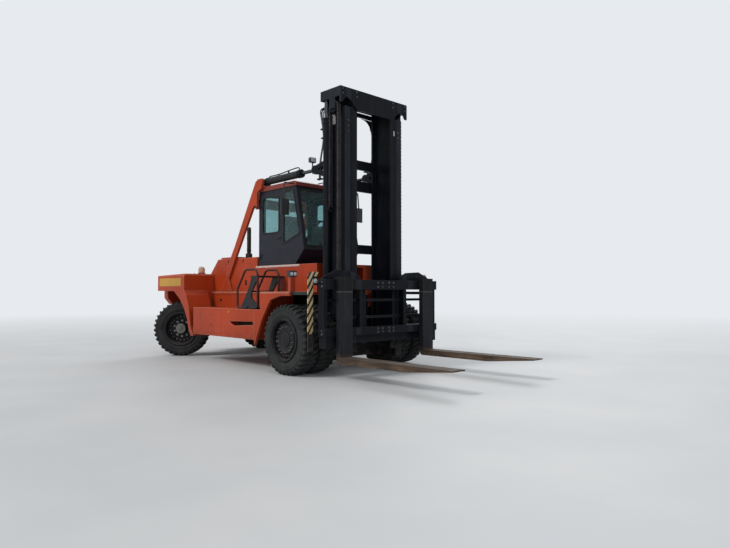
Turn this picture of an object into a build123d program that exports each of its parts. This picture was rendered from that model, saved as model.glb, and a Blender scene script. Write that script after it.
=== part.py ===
"""Heavy container-yard forklift: overhead tilt cylinders, two-stage mast, twin drive tyres.

Millimetres. X points forward, Y to the left, Z up. The origin is on the ground, in the
middle of the length from the counterweight's tail to the fork tips.
"""
import os
from math import cos, hypot, radians, sin

from build123d import *

os.makedirs("parts", exist_ok=True)

# Overall sizes, from the front axle
wheelbase = 4810.0
tail_overhang = 810.0
tail_behind_axle = wheelbase + tail_overhang
tips_ahead_of_axle = 3660.0
front_axle_x = (tail_behind_axle - tips_ahead_of_axle) / 2
overall_width = 3326.0

# Wheels
tyre_radius = 660.0
tyre_width = 380.0
tread_depth = 32.0
lug_count = 40
lug_width = 56.0
rim_seat_radius = 375.0
rim_flange_radius = 405.0
rim_wall = 18.0
twin_gap = 70.0
bead_gap = 0.3
pin_clearance = 0.05
seat_gap = 0.3

# Steering
kingpin_y = 1145.0
steer_offset = 180.0
steer_angle = 45.0
kingpin_radius = 55.0

# Mast
mast_front = 730.0
mast_rear = 180.0
mast_web_outer = 770.0
mast_web_wall = 40.0
flange_wall = 40.0
outer_flange_inner = 605.0
inner_flange_outer = 590.0
inner_flange_inner = 460.0
outer_mast_low = 260.0
outer_mast_top = 5090.0
inner_mast_low = 420.0
mast_top = 5435.0
crosshead_half_width = 920.0
crosshead_height = 185.0
crossbar_heights = ((2335.0, 2520.0), (3615.0, 3830.0), (4050.0, 4235.0))

# Forks and carriage
fork_centre_y = 1120.0
fork_width = 300.0
fork_thickness = 110.0
fork_front = 1160.0
fork_blade_top = 390.0
fork_tip_thickness = 22.0
carriage_half_width = 1520.0
carriage_rear = 860.0
hook_thickness = 45.0

# Lift chains
sheave_x = 515.0
sheave_z = 5085.0
sheave_radius = 105.0
chain_low_front = 1640.0
chain_low_rear = 3100.0

# Lift and tilt cylinders
lift_cylinder_y = 847.0
lift_cylinder_x = 285.0
lift_barrel_radius = 70.0
lift_rod_radius = 45.0
lift_barrel_low = 1450.0
lift_barrel_top = 4900.0
tilt_cylinder_y = 700.0
tilt_rear_x = -2013.0
tilt_rear_z = 3985.0
tilt_eye_x = -230.0
tilt_eye_z = 4005.0
tilt_barrel_radius = 78.0
tilt_barrel_length = 1333.0
tilt_rod_radius = 36.0
tilt_eye_radius = 88.0
tilt_eye_bore = 58.0
tilt_pin_radius = 32.0
tilt_eye_half = 45.0
tilt_cheek = 25.0
tilt_cheek_gap = 5.0

# Chassis
body_half_width = 1600.0
fender_top = 1560.0
tank_top = 1205.0
tank_bottom = 600.0
deck_top = 2120.0
ledge_outer = 870.0
wall_inner = 800.0
wall_thickness = 60.0
cab_half_width = 770.0
cab_rear = -2130.0
cab_front_top = -790.0
cab_front_knee = -520.0
cab_front_foot = -820.0
cab_floor = deck_top + seat_gap
cab_knee_z = 2430.0
cab_roof_z = 3760.0
roof_top_z = 3860.0
cab_wall = 50.0
sill_z = 2820.0


def at(x):
    """Position along the truck of a point x ahead of the front axle."""
    return front_axle_x + x


def block(x, y, z, mode=Mode.ADD):
    """Box between the low and high limits along each axis, x from the front axle."""
    with Locations((at((x[0] + x[1]) / 2), (y[0] + y[1]) / 2, (z[0] + z[1]) / 2)):
        Box(x[1] - x[0], y[1] - y[0], z[1] - z[0], mode=mode)


def side_plate(outline, y, radius=0, mode=Mode.ADD):
    """Plate with an (x, z) outline, between two distances across the truck."""
    with BuildSketch(Plane.XZ.offset(-y[1])) as face:
        with BuildLine():
            Polyline(*[(at(px), pz) for px, pz in outline], close=True)
        make_face()
        if radius:
            fillet(face.vertices(), radius)
    extrude(face.sketch, amount=y[1] - y[0], mode=mode)


def front_plate(outline, x, radius=0, mode=Mode.ADD):
    """Plate with a (y, z) outline, between two distances along the truck."""
    with BuildSketch(Plane.YZ.offset(at(x[0]))) as face:
        with BuildLine():
            Polyline(*outline, close=True)
        make_face()
        if radius:
            fillet(face.vertices(), radius)
    extrude(face.sketch, amount=x[1] - x[0], mode=mode)


def round_bar(start, end, radius, mode=Mode.ADD):
    """Cylinder between two points given from the front axle."""
    low = Vector(at(start[0]), start[1], start[2])
    high = Vector(at(end[0]), end[1], end[2])
    with BuildSketch(Plane(origin=low, z_dir=high - low)) as face:
        Circle(radius)
    extrude(face.sketch, amount=(high - low).length, mode=mode)


def bent_tube(points, radius, bend):
    """Round tube along straight runs joined by arcs, points from the front axle."""
    with BuildLine() as route:
        FilletPolyline(*[(at(px), py, pz) for px, py, pz in points], radius=bend)
    path = route.wires()[0]
    with BuildSketch(Plane(origin=path @ 0, z_dir=path % 0)) as face:
        Circle(radius)
    sweep(face.sketch, path=path)


def both_sides():
    """Signs of the right and the left side."""
    return (("right", -1), ("left", 1))


def across(side, near, far):
    """Low and high limits of a span on one side, from its distances to the middle."""
    return sorted((side * near, side * far))


def save(builder, label):
    """Label a finished piece and write its STEP file."""
    builder.part.label = label
    export_step(builder.part, f"parts/{label}.step")


def wheel_plane(x, y, steer, side):
    """Plane in a wheel's middle with its normal pointing outboard."""
    turn = radians(steer)
    outboard = Vector(-sin(turn) * side, cos(turn) * side, 0)
    return Plane(origin=(x, y, tyre_radius), x_dir=(cos(turn), sin(turn), 0), z_dir=outboard)


def section_of(wheel):
    """Plane through the wheel's axis: local x is the radius, local y the way outboard."""
    return Plane(origin=wheel.origin, x_dir=wheel.x_dir, z_dir=wheel.x_dir.cross(wheel.z_dir))


def add_ring(wheel, outline):
    """Solid of revolution from (radius, way outboard) points."""
    with BuildSketch(section_of(wheel)) as face:
        with BuildLine():
            Polyline(*outline, close=True)
        make_face()
    revolve(face.sketch, axis=Axis(wheel.origin, wheel.z_dir))


def add_tyre(wheel):
    """Tyre with cross lugs on the wheel's plane."""
    bead = rim_seat_radius + bead_gap
    half = tyre_width / 2
    carcass = tyre_radius - tread_depth
    tread_half = half * 0.84
    profile = (
        (bead, -half * 0.74), (bead + 40, -half * 0.86), (carcass - 90, -half),
        (carcass, -tread_half), (carcass, tread_half), (carcass - 90, half),
        (bead + 40, half * 0.86), (bead, half * 0.74),
    )
    add_ring(wheel, profile)
    lug_root = carcass - 24
    with BuildSketch(wheel.offset(-tread_half)) as lugs:
        with PolarLocations((lug_root + tyre_radius) / 2, lug_count, start_angle=-90):
            Rectangle(tyre_radius - lug_root, lug_width)
    extrude(lugs.sketch, amount=2 * tread_half)


# Drive wheels: two tyres on one hub each side
twin_pitch = tyre_width + twin_gap
twin_centre_y = overall_width / 2 - tyre_width - twin_gap / 2
spindle_radius = 95.0
axle_tube_radius = 165.0
for side_name, side in both_sides():
    hub = wheel_plane(at(0), side * twin_centre_y, 0, side)
    with BuildPart() as tyres:
        for shift in (-twin_pitch / 2, twin_pitch / 2):
            add_tyre(hub.offset(shift))
    save(tyres, f"drive_tyres_{side_name}")

    outer_edge = twin_pitch / 2 + tyre_width / 2 - 12
    wall_in = rim_seat_radius - rim_wall
    with BuildPart() as rims:
        add_ring(hub, ((wall_in, -outer_edge), (rim_seat_radius, -outer_edge),
                       (rim_seat_radius, outer_edge), (wall_in, outer_edge)))
        for edge in (-outer_edge + 8, outer_edge - 8, -twin_gap / 2 - 4, twin_gap / 2 + 4):
            add_ring(hub, ((wall_in, edge - 8), (rim_flange_radius, edge - 8),
                           (rim_flange_radius, edge + 8), (wall_in, edge + 8)))
        add_ring(hub, ((spindle_radius + pin_clearance, 120), (wall_in + 4, 60),
                       (wall_in + 4, 90), (300, 150), (230, 165), (190, 165), (190, 330),
                       (150, 352), (0, 352), (0, 320), (spindle_radius + pin_clearance, 320)))
    save(rims, f"drive_rims_{side_name}")

# Drive axle: housing, frame pads and spindles
with BuildPart() as drive_axle:
    round_bar((0, -twin_centre_y - 40, tyre_radius), (0, twin_centre_y + 40, tyre_radius), axle_tube_radius)
    round_bar((0, -twin_centre_y - 318, tyre_radius), (0, twin_centre_y + 318, tyre_radius), spindle_radius)
    with Locations((at(-30), 0, tyre_radius)):
        Sphere(200)
save(drive_axle, "drive_axle")

# Steered wheels on knuckles
steer_x = at(-wheelbase)
steer_spindle = 60.0
for side_name, side in both_sides():
    turn = radians(steer_angle)
    reach_x = -sin(turn) * side * steer_offset
    reach_y = cos(turn) * side * steer_offset
    hub = wheel_plane(steer_x + reach_x, side * kingpin_y + reach_y, steer_angle, side)
    with BuildPart() as tyre:
        add_tyre(hub)
    save(tyre, f"steer_tyre_{side_name}")

    rim_edge = tyre_width / 2 - 12
    wall_in = rim_seat_radius - rim_wall
    with BuildPart() as rim:
        add_ring(hub, ((wall_in, -rim_edge), (rim_seat_radius, -rim_edge),
                       (rim_seat_radius, rim_edge), (wall_in, rim_edge)))
        for edge in (-rim_edge + 8, rim_edge - 8):
            add_ring(hub, ((wall_in, edge - 8), (rim_flange_radius, edge - 8),
                           (rim_flange_radius, edge + 8), (wall_in, edge + 8)))
        add_ring(hub, ((steer_spindle + pin_clearance, -60), (150, -60), (150, -20), (wall_in + 4, -20),
                       (wall_in + 4, 5), (200, 20), (145, 20), (125, 110), (100, 128), (0, 128),
                       (0, 100), (steer_spindle + pin_clearance, 100)))
    save(rim, f"steer_rim_{side_name}")

    with BuildPart() as knuckle:
        with BuildSketch(Plane.XY.offset(tyre_radius - 150)):
            with Locations((steer_x, side * kingpin_y)):
                Circle(105)
        extrude(amount=300)
        with BuildSketch(hub.offset(-steer_offset + 40)):
            Circle(90)
        extrude(amount=steer_offset - 40 - 65)
        with BuildSketch(hub.offset(-80)):
            Circle(steer_spindle)
        extrude(amount=178)
        with BuildSketch(Plane.XY.offset(tyre_radius - 151)):
            with Locations((steer_x, side * kingpin_y)):
                Circle(kingpin_radius + pin_clearance)
        extrude(amount=302, mode=Mode.SUBTRACT)
    save(knuckle, f"knuckle_{side_name}")

# Steer axle: deep beam on a centre pin, with a fork and kingpin at each end
axle_pin_radius = 50.0
with BuildPart() as steer_axle:
    block((-wheelbase - 130, -wheelbase + 130), (-830, 830), (tyre_radius - 190, tyre_radius + 190))
    for side_name, side in both_sides():
        for low, high in ((-230, -155), (155, 230)):
            ends = across(side, 760, kingpin_y + 60)
            block((-wheelbase - 110, -wheelbase + 110), ends, (tyre_radius + low, tyre_radius + high))
        block((-wheelbase - 110, -wheelbase + 110), across(side, 760, 880),
              (tyre_radius - 230, tyre_radius + 230))
        round_bar((-wheelbase, side * kingpin_y, tyre_radius - 245),
                  (-wheelbase, side * kingpin_y, tyre_radius + 245), kingpin_radius)
    round_bar((-wheelbase - 131, 0, tyre_radius), (-wheelbase + 131, 0, tyre_radius),
              axle_pin_radius + pin_clearance, mode=Mode.SUBTRACT)
save(steer_axle, "steer_axle")

# Chassis frame: two deep side plates, cross-members and the hangers of the steer axle
frame_inner = 420.0
frame_wall = 60.0
frame_top = 1500.0
engine_seat = 900.0
frame_bottom = 560.0
arch_z = 1575.0
weight_front = -wheelbase + 810.0
engine_rear = weight_front + 250
engine_front = -2350.0
cross_member = 100.0
hanger_reach = 160.0
hanger_wall = 40.0
cross_members = (
    # rear face, thickness, low, high
    (engine_rear + 300, cross_member, tank_bottom, engine_seat),
    (engine_front - 250, cross_member, tank_bottom, engine_seat),
    (-1500.0, cross_member, tank_bottom, 1100.0),
    (-240.0, hanger_wall, 1050.0, frame_top),
)
with BuildPart() as frame:
    for side_name, side in both_sides():
        plate = across(side, frame_inner, frame_inner + frame_wall)
        side_plate(((-wheelbase - 250, 1150), (-wheelbase - 250, arch_z - seat_gap),
                    (weight_front - 10, arch_z - seat_gap), (weight_front - 10, frame_top), (60, frame_top),
                    (60, frame_bottom), (weight_front + 200, frame_bottom), (weight_front - 50, 1150)), plate)
    for x_low, wall, z_low, z_high in cross_members:
        block((x_low, x_low + wall), (-frame_inner - 5, frame_inner + 5), (z_low, z_high))
    for x_near in (-wheelbase - hanger_reach - hanger_wall, -wheelbase + hanger_reach):
        front_plate(((-frame_inner - 5, 1150), (-frame_inner - 5, 1400), (frame_inner + 5, 1400),
                     (frame_inner + 5, 1150), (120, frame_bottom), (-120, frame_bottom)),
                    (x_near, x_near + hanger_wall))
    round_bar((-wheelbase - hanger_reach - hanger_wall, 0, tyre_radius),
              (-wheelbase + hanger_reach + hanger_wall, 0, tyre_radius), axle_pin_radius)
    round_bar((0, -700, tyre_radius), (0, 700, tyre_radius), axle_tube_radius + seat_gap, mode=Mode.SUBTRACT)
save(frame, "chassis_frame")

# Counterweight: cast block over the steered wheels, with curved skirts in front of them
house_half = wall_inner - seat_gap
house_rear = weight_front - 260
recess_z = 1590.0
weight_top = 1985.0
tail = -tail_behind_axle
skirt_inner = 1010.0
arch_edge = (
    # ahead of the weight's front, height
    (-514, arch_z + 6), (-185, 1377), (32, 1146), (172, 917), (248, 673), (350, 547),
)
fold_edge = ((453, 552), (313, 758), (240, 1150), (94, 1480), (0, arch_z + 10))
edge_slope = 50.0
bulge_half = 1330.0
bulge_low = 1240.0
tail_block_half = 430.0
tail_block_low = 620.0
tow_notch_half = 200.0
tow_notch_top = 1150.0
tow_plate = (970.0, 1030.0)
tow_plate_half = 90.0
tow_hole_radius = 35.0
tow_hole_x = tail + 90
with BuildPart() as counterweight:
    side_plate(((tail, arch_z), (tail, 1890), (tail + 60, 1945),
                (weight_front - 30, weight_top), (weight_front, 1955), (weight_front, arch_z)),
               (-body_half_width, body_half_width))
    for side_name, side in both_sides():
        side_plate([(weight_front + ahead, height) for ahead, height in arch_edge + fold_edge],
                   across(side, skirt_inner, body_half_width))
        block((weight_front - 45, weight_front), across(side, wall_inner, skirt_inner + 5),
              (tank_top + seat_gap, arch_z + 5))
        corner = ((at(tail - 10), side * 1100), (at(tail + 270), side * (body_half_width + 10)),
                  (at(tail - 10), side * (body_half_width + 10)))
        with BuildSketch(Plane.XY.offset(1500)) as cut:
            with BuildLine():
                Polyline(*corner, close=True)
            make_face()
        extrude(cut.sketch, amount=600, mode=Mode.SUBTRACT)
        front_plate(((side * (body_half_width - edge_slope), weight_top + 5),
                     (side * (body_half_width + 10), weight_top + 5),
                     (side * (body_half_width + 10), weight_top - edge_slope - 10)),
                    (tail - 10, weight_front + 10), mode=Mode.SUBTRACT)
    front_plate(((-bulge_half, arch_z + 5), (-bulge_half, bulge_low + 160), (-bulge_half + 130, bulge_low),
                 (bulge_half - 130, bulge_low), (bulge_half, bulge_low + 160), (bulge_half, arch_z + 5)),
                (tail + 60, tail + 250))
    side_plate(((tail + 20, tail_block_low), (tail + 20, arch_z + 5), (-wheelbase - 270, arch_z + 5),
                (-wheelbase - 270, tail_block_low + 140), (-wheelbase - 390, tail_block_low)),
               (-tail_block_half, tail_block_half))
    block((house_rear, weight_front + 10), (-house_half - 10, house_half + 10), (recess_z, weight_top + 10),
          mode=Mode.SUBTRACT)
    block((tail + 10, tail + 240), (-tow_notch_half, tow_notch_half), (tail_block_low - 10, tow_notch_top),
          mode=Mode.SUBTRACT)
    block((tail + 30, tail + 260), (-tow_plate_half, tow_plate_half), tow_plate)
    round_bar((tow_hole_x, 0, tow_plate[0] - 1), (tow_hole_x, 0, tow_plate[1] + 1), tow_hole_radius,
              mode=Mode.SUBTRACT)
save(counterweight, "counterweight")

# Engine, one plain block
with BuildPart() as engine:
    block((engine_rear, engine_front), (-350, 350), (engine_seat + seat_gap, 1900))
save(engine, "engine_block")

# Engine house: walls round the engine, open on top at the lid
house_front = -2160.0
house_top = 2330.0
house_slope_top = weight_front + 180
house_wall = 40.0
house_low = recess_z + seat_gap
lid_rear = weight_front + 290
lid_front = lid_rear + 670
lid_thickness = 40.0
lid_hinge_z = house_top + 20
lid_hinge_radius = 18.0
lid_knuckle = 60.0
lid_knuckle_y = 500.0
with BuildPart() as house:
    side_plate(((house_rear + seat_gap, house_low), (house_rear + seat_gap, 1900),
                (house_slope_top, house_top), (house_front, house_top), (house_front, fender_top + seat_gap),
                (weight_front + 20, fender_top + seat_gap), (weight_front + 20, house_low)),
               (-house_half, house_half))
    side_plate(((house_rear + house_wall, 1500), (house_rear + house_wall, 1885),
                (house_slope_top + 16, house_top - house_wall),
                (house_front - house_wall, house_top - house_wall), (house_front - house_wall, 1500)),
               (-house_half + house_wall, house_half - house_wall), mode=Mode.SUBTRACT)
    block((lid_rear + 50, lid_front - 40), (-house_half + 60, house_half - 60),
          (house_top - 130, house_top + 70), mode=Mode.SUBTRACT)
    for side_name, side in both_sides():
        span = across(side, lid_knuckle_y - lid_knuckle, lid_knuckle_y - seat_gap)
        round_bar((lid_rear, span[0], lid_hinge_z), (lid_rear, span[1], lid_hinge_z), lid_hinge_radius)
        block((lid_rear - 12, lid_rear + 12), span, (house_top - 5, lid_hinge_z))
save(house, "engine_house")

with BuildPart() as lid:
    block((lid_rear, lid_front), (-house_half + 20, house_half - 20),
          (house_top + seat_gap, house_top + lid_thickness))
    for side_name, side in both_sides():
        block((lid_rear - 1, lid_rear + lid_hinge_radius + 7),
              across(side, lid_knuckle_y - lid_knuckle - 6, lid_knuckle_y),
              (house_top, house_top + lid_thickness + 1), mode=Mode.SUBTRACT)
        span = across(side, lid_knuckle_y, lid_knuckle_y + lid_knuckle)
        round_bar((lid_rear, span[0], lid_hinge_z), (lid_rear, span[1], lid_hinge_z), lid_hinge_radius)
save(lid, "engine_lid")

exhaust_x = lid_front + 90
exhaust_y = -497.0
exhaust_radius = 48.0
exhaust_top = 3070.0
exhaust_runs = (
    # low, high, radius
    (house_top + seat_gap, house_top + 120, 75.0),
    (house_top + 100, exhaust_top - 20, exhaust_radius),
    (exhaust_top - 20, exhaust_top, exhaust_radius - 14),
)
with BuildPart() as exhaust:
    for low, high, radius in exhaust_runs:
        round_bar((exhaust_x, exhaust_y, low), (exhaust_x, exhaust_y, high), radius)
save(exhaust, "exhaust_stack")

# Hull ledges, fenders and the deck under the cab
arch_start = -850.0
fender_front = 100.0
fender_rim = 60.0
fender_outline = (
    (fender_front, 1480), (fender_front, fender_top), (arch_start, fender_top),
    (arch_start, tank_top + seat_gap), (-1055, tank_top + seat_gap), (-1055, 480), (-950, 700),
    (-780, 1040), (-510, 1400), (-190, 1480),
)
ledge = (frame_top + seat_gap, fender_top)
hull_top = fender_top - 5
deck_low = deck_top - 60
riser = (hull_top, deck_top - 20)
with BuildPart() as fenders:
    for side_name, side in both_sides():
        block((weight_front + 10, arch_start + 20), across(side, wall_inner, wall_inner + wall_thickness),
              (tank_top + seat_gap, hull_top))
        side_plate(fender_outline, across(side, body_half_width - fender_rim, body_half_width))
        block((weight_front + 10, arch_start + 5), across(side, frame_inner, ledge_outer), ledge)
        block((arch_start, 60), across(side, frame_inner, 1000), ledge)
        block((arch_start, fender_front), across(side, 990, body_half_width), ledge)
        block((arch_start, arch_start + 30), across(side, wall_inner, body_half_width - fender_rim + 5),
              (tank_top + seat_gap, hull_top))
        block((-760, -10), across(side, frame_inner, 850), riser)
        block((-2150, -760), across(side, 780, 850), riser)
    block((-2150, -10), (-850, 850), (deck_low, deck_top))
save(fenders, "fenders_and_deck")

# Side boxes with a long recess for the foot and two latch holes
tank_rear = weight_front + 470
tank_front = -1060.0
recess = ((-2000.0, 935.0), (-1100.0, 960.0), (-1100.0, 890.0), (-1860.0, 850.0))
latch_x = -2750.0
latch_heights = (820.0, 1030.0)
with BuildPart() as tanks:
    for side_name, side in both_sides():
        block((tank_rear, tank_front), across(side, frame_inner + frame_wall + seat_gap, body_half_width),
              (tank_bottom, tank_top))
        side_plate(recess, across(side, body_half_width - 150, body_half_width + 10), mode=Mode.SUBTRACT)
        for height in latch_heights:
            block((latch_x - 14, latch_x + 14), across(side, body_half_width - 40, body_half_width + 10),
                  (height - 32, height + 32), mode=Mode.SUBTRACT)
save(tanks, "side_tanks")

# Stair on each side box: two leaning stringers, two treads and a closed hoop rail beside each stringer
stair_foot = tank_top + seat_gap
stringer_slope = (
    # x, height above the side box
    (-1402, 360), (-1248, 673), (-1036, 643), (-1054, 609), (-1270, 347),
)
stringer_foot = ((-1269, 226), (-1167, 146), (-1067, 97), (-1066, 0), (-1690, 0))
stringers = (
    # distance from the middle, outline
    (1500.0, stringer_slope + stringer_foot),
    (990.0, stringer_slope),
)
stringer_wall = 30.0
hoop = (
    # x, height above the side box
    (-1400, 22), (-1767, 22), (-1767, 410), (-1489, 779), (-1415, 806), (-1105, 800), (-1025, 700),
    (-1025, 22), (-1300, 22),
)
hoop_radius = 22.0
treads = (
    # rear x, front x, height above the side box, distance from the middle to its inner end
    (-1420.0, -1250.0, 340.0, 990.0),
    (-1300.0, -1060.0, 645.0, 850.0 + seat_gap),
)
tread_thickness = 30.0
with BuildPart() as steps:
    for side_name, side in both_sides():
        for near, outline in stringers:
            side_plate([(x, stair_foot + rise) for x, rise in outline],
                       across(side, near, near + stringer_wall))
            rail_y = side * (near + stringer_wall + 10)
            bent_tube([(x, rail_y, stair_foot + rise) for x, rise in hoop], hoop_radius, 60)
        for rear_x, front_x, rise, near in treads:
            block((rear_x, front_x), across(side, near, 1530),
                  (stair_foot + rise, stair_foot + rise + tread_thickness))
save(steps, "steps_and_rails")

# Tilt cylinder towers behind the cab: slim plates that lean forward and arch over to the roof
tower_inner = wall_inner
tower_wall = 60.0
tower_outline = (
    (-3120, fender_top + seat_gap), (-3190, 1700), (-3270, 1843), (-2938, 2380), (-2255, 3432), (-2225, 3462),
    (-2183, 3474), (-2141, 3462), (-2112, 3432), (-2100, 3432), (-2100, 3750), (-1945, 3815), (-1888, 3960),
    (-1886, 4010), (-1905, 4040), (-2060, 4040), (-2150, 3985), (-2419, 3548), (-2998, 2589), (-3247, 2231),
    (-3300, 2120), (-3360, 1900), (-3620, fender_top + seat_gap),
)
cheek_outline = (
    (-2450, 3430), (-2180, 3430), (-2180, 3900), (-1950, 3910), (-1940, 4010), (-1970, 4040), (-2060, 4045),
    (-2200, 3950), (-2450, 3600),
)
cheek = (590.0, 650.0)
pin_boss_inner = tilt_cylinder_y + tilt_eye_half + tilt_cheek_gap
pin_boss_radius = 55.0
with BuildPart() as towers:
    for side_name, side in both_sides():
        side_plate(tower_outline, across(side, tower_inner, tower_inner + tower_wall))
        side_plate(cheek_outline, across(side, *cheek))
        boss = across(side, pin_boss_inner, tower_inner + 5)
        round_bar((tilt_rear_x, boss[0], tilt_rear_z), (tilt_rear_x, boss[1], tilt_rear_z), pin_boss_radius)
        pin = across(side, cheek[0], tower_inner + 5)
        round_bar((tilt_rear_x, pin[0], tilt_rear_z), (tilt_rear_x, pin[1], tilt_rear_z), tilt_pin_radius)
    block((-2450, -2300), (-tower_inner - 10, tower_inner + 10), (3450, 3650))
save(towers, "tilt_towers")

# Cab
hinge_x = -2061.0
hinge_y = cab_half_width + 15
hinge_radius = 14.0
hinge_heights = (2330.0, 3450.0)
with BuildPart() as cab:
    side_plate(((cab_rear, cab_floor), (cab_rear, cab_roof_z), (cab_front_top, cab_roof_z),
                (cab_front_knee, cab_knee_z), (cab_front_foot, cab_floor)), (-cab_half_width, cab_half_width))
    side_plate(((cab_rear + cab_wall, cab_floor + cab_wall), (cab_rear + cab_wall, cab_roof_z + 5),
                (cab_front_top - cab_wall, cab_roof_z + 5), (cab_front_knee - cab_wall - 8, cab_knee_z + 12),
                (cab_front_foot - cab_wall + 20, cab_floor + cab_wall)),
               (-cab_half_width + cab_wall, cab_half_width - cab_wall), mode=Mode.SUBTRACT)
    through = (-cab_half_width - 10, cab_half_width + 10)
    side_plate(((cab_rear + 60, cab_floor + 70), (cab_rear + 60, cab_roof_z - 60), (-1300, cab_roof_z - 60),
                (-1300, cab_floor + 70)), through, mode=Mode.SUBTRACT)
    side_plate(((-1230, 2560), (-1230, cab_roof_z - 60), (-880, cab_roof_z - 60), (-640, 2760)),
               through, mode=Mode.SUBTRACT)
    block((cab_rear - 20, cab_rear + 60), (-620, 620), (sill_z, cab_roof_z - 60), mode=Mode.SUBTRACT)
    block((-1000, -400), (-cab_half_width + 60, cab_half_width - 60), (cab_knee_z + 60, cab_roof_z - 60),
          mode=Mode.SUBTRACT)
    for side_name, side in both_sides():
        for height in hinge_heights:
            knuckle_low = height - 60 - seat_gap
            round_bar((hinge_x, side * hinge_y, knuckle_low), (hinge_x, side * hinge_y, height - seat_gap),
                      hinge_radius)
            block((cab_rear + 10, cab_rear + 62), across(side, cab_half_width - 5, hinge_y - 2),
                  (knuckle_low, height - seat_gap))
save(cab, "cab_shell")

roof_overhang = 25.0
roof_seat = cab_roof_z + seat_gap
with BuildPart() as roof:
    side_plate(((cab_rear - 30, roof_seat), (cab_rear - 30, roof_top_z - 20), (cab_rear + 60, roof_top_z),
                (cab_front_top - 30, roof_top_z), (cab_front_top + 40, roof_top_z - 30),
                (cab_front_top + 40, roof_seat)),
               (-cab_half_width - roof_overhang, cab_half_width + roof_overhang))
save(roof, "cab_roof")

glass = 8.0
pane_top = cab_roof_z - 60.5
with BuildPart() as panes:
    block((cab_rear + 20, cab_rear + 20 + glass), (-619.5, 619.5), (sill_z + 0.5, pane_top))
    for side_name, side in both_sides():
        face = across(side, cab_half_width - 20 - glass, cab_half_width - 20)
        side_plate(((-1229.5, 2561), (-1229.5, pane_top), (-881, pane_top), (-641, 2760.5)), face)
    side_plate(((cab_front_top - 40, pane_top), (cab_front_top - 32, pane_top),
                (cab_front_knee - 25, cab_knee_z + 60.5), (cab_front_knee - 33, cab_knee_z + 60.5)),
               (-cab_half_width + 60.5, cab_half_width - 60.5))
save(panes, "cab_windows")

door_gap = 6.0
door_thickness = 45.0
for side_name, side in both_sides():
    skin = across(side, cab_half_width - door_thickness, cab_half_width)
    low_x = cab_rear + 60 + door_gap
    high_x = -1300 - door_gap
    with BuildPart() as door:
        side_plate(((low_x, cab_floor + 70 + door_gap), (low_x, cab_roof_z - 60 - door_gap),
                    (high_x, cab_roof_z - 60 - door_gap), (high_x, cab_floor + 70 + door_gap)), skin)
        block((low_x + 70, high_x - 70), (skin[0] - 5, skin[1] + 5), (sill_z, cab_roof_z - 140),
              mode=Mode.SUBTRACT)
        for height in hinge_heights:
            round_bar((hinge_x, side * hinge_y, height), (hinge_x, side * hinge_y, height + 60), hinge_radius)
            block((hinge_x, hinge_x + 60), across(side, cab_half_width - 5, hinge_y - 2),
                  (height, height + 60))
    save(door, f"door_{side_name}")
    pane = across(side, cab_half_width - 20 - glass, cab_half_width - 20)
    with BuildPart() as door_pane:
        block((low_x + 70.3, high_x - 70.3), pane, (sill_z + 0.3, cab_roof_z - 140.3))
    save(door_pane, f"door_window_{side_name}")

mat_top = cab_floor + cab_wall + seat_gap
with BuildPart() as seat:
    block((-1850, -1350), (-260, 260), (cab_floor + 400, cab_floor + 520))
    side_plate(((-1960, cab_floor + 500), (-2040, cab_floor + 1180), (-1940, cab_floor + 1200),
                (-1830, cab_floor + 520)), (-240, 240))
    block((-1760, -1450), (-170, 170), (mat_top, cab_floor + 410))
save(seat, "driver_seat")

with BuildPart() as dash:
    side_plate(((-900, mat_top), (-1000, cab_floor + 300), (-1000, 2900), (-850, 2960), (-760, 2900),
                (-700, 2600), (-760, cab_floor + 350), (-850, mat_top)), (-200, 330))
    round_bar((-1150, 60, 2990), (-930, 60, 2805), 28 + seat_gap, mode=Mode.SUBTRACT)
save(dash, "dash_console")

with BuildPart() as wheel:
    rim_centre = Plane(origin=(at(-1150), 60, 2990), z_dir=(-0.5, 0, 0.87))
    with BuildSketch(rim_centre.rotated((0, 0, 0))) as ring:
        Circle(200)
        Circle(172, mode=Mode.SUBTRACT)
        Circle(45)
        for spoke in (0, 120, 240):
            with Locations(Rotation(0, 0, spoke)):
                with Locations((110, 0)):
                    Rectangle(150, 30)
    extrude(ring.sketch, amount=28)
    round_bar((-1150, 60, 2990), (-960, 60, 2830), 28)
save(wheel, "steering_wheel")

# Front guards with the striped bars: each hooks inwards at its top over a lamp box
guard_x = (680.0, 700.0)
guard_outline = (
    # distance from the middle, height
    (1510, 490), (1630, 490), (1630, 1850), (1565, 1920), (1390, 1920), (1390, 1840), (1510, 1810),
)
with BuildPart() as guards:
    for side_name, side in both_sides():
        front_plate([(side * near, height) for near, height in guard_outline], guard_x)
        block((guard_x[0] - 90, guard_x[0] + 5), across(side, 1390, 1550), (1680, 1830))
        block((fender_front + seat_gap, guard_x[0] + 10), across(side, 1515, 1550), (1500, 1560))
save(guards, "front_guards")

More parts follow.
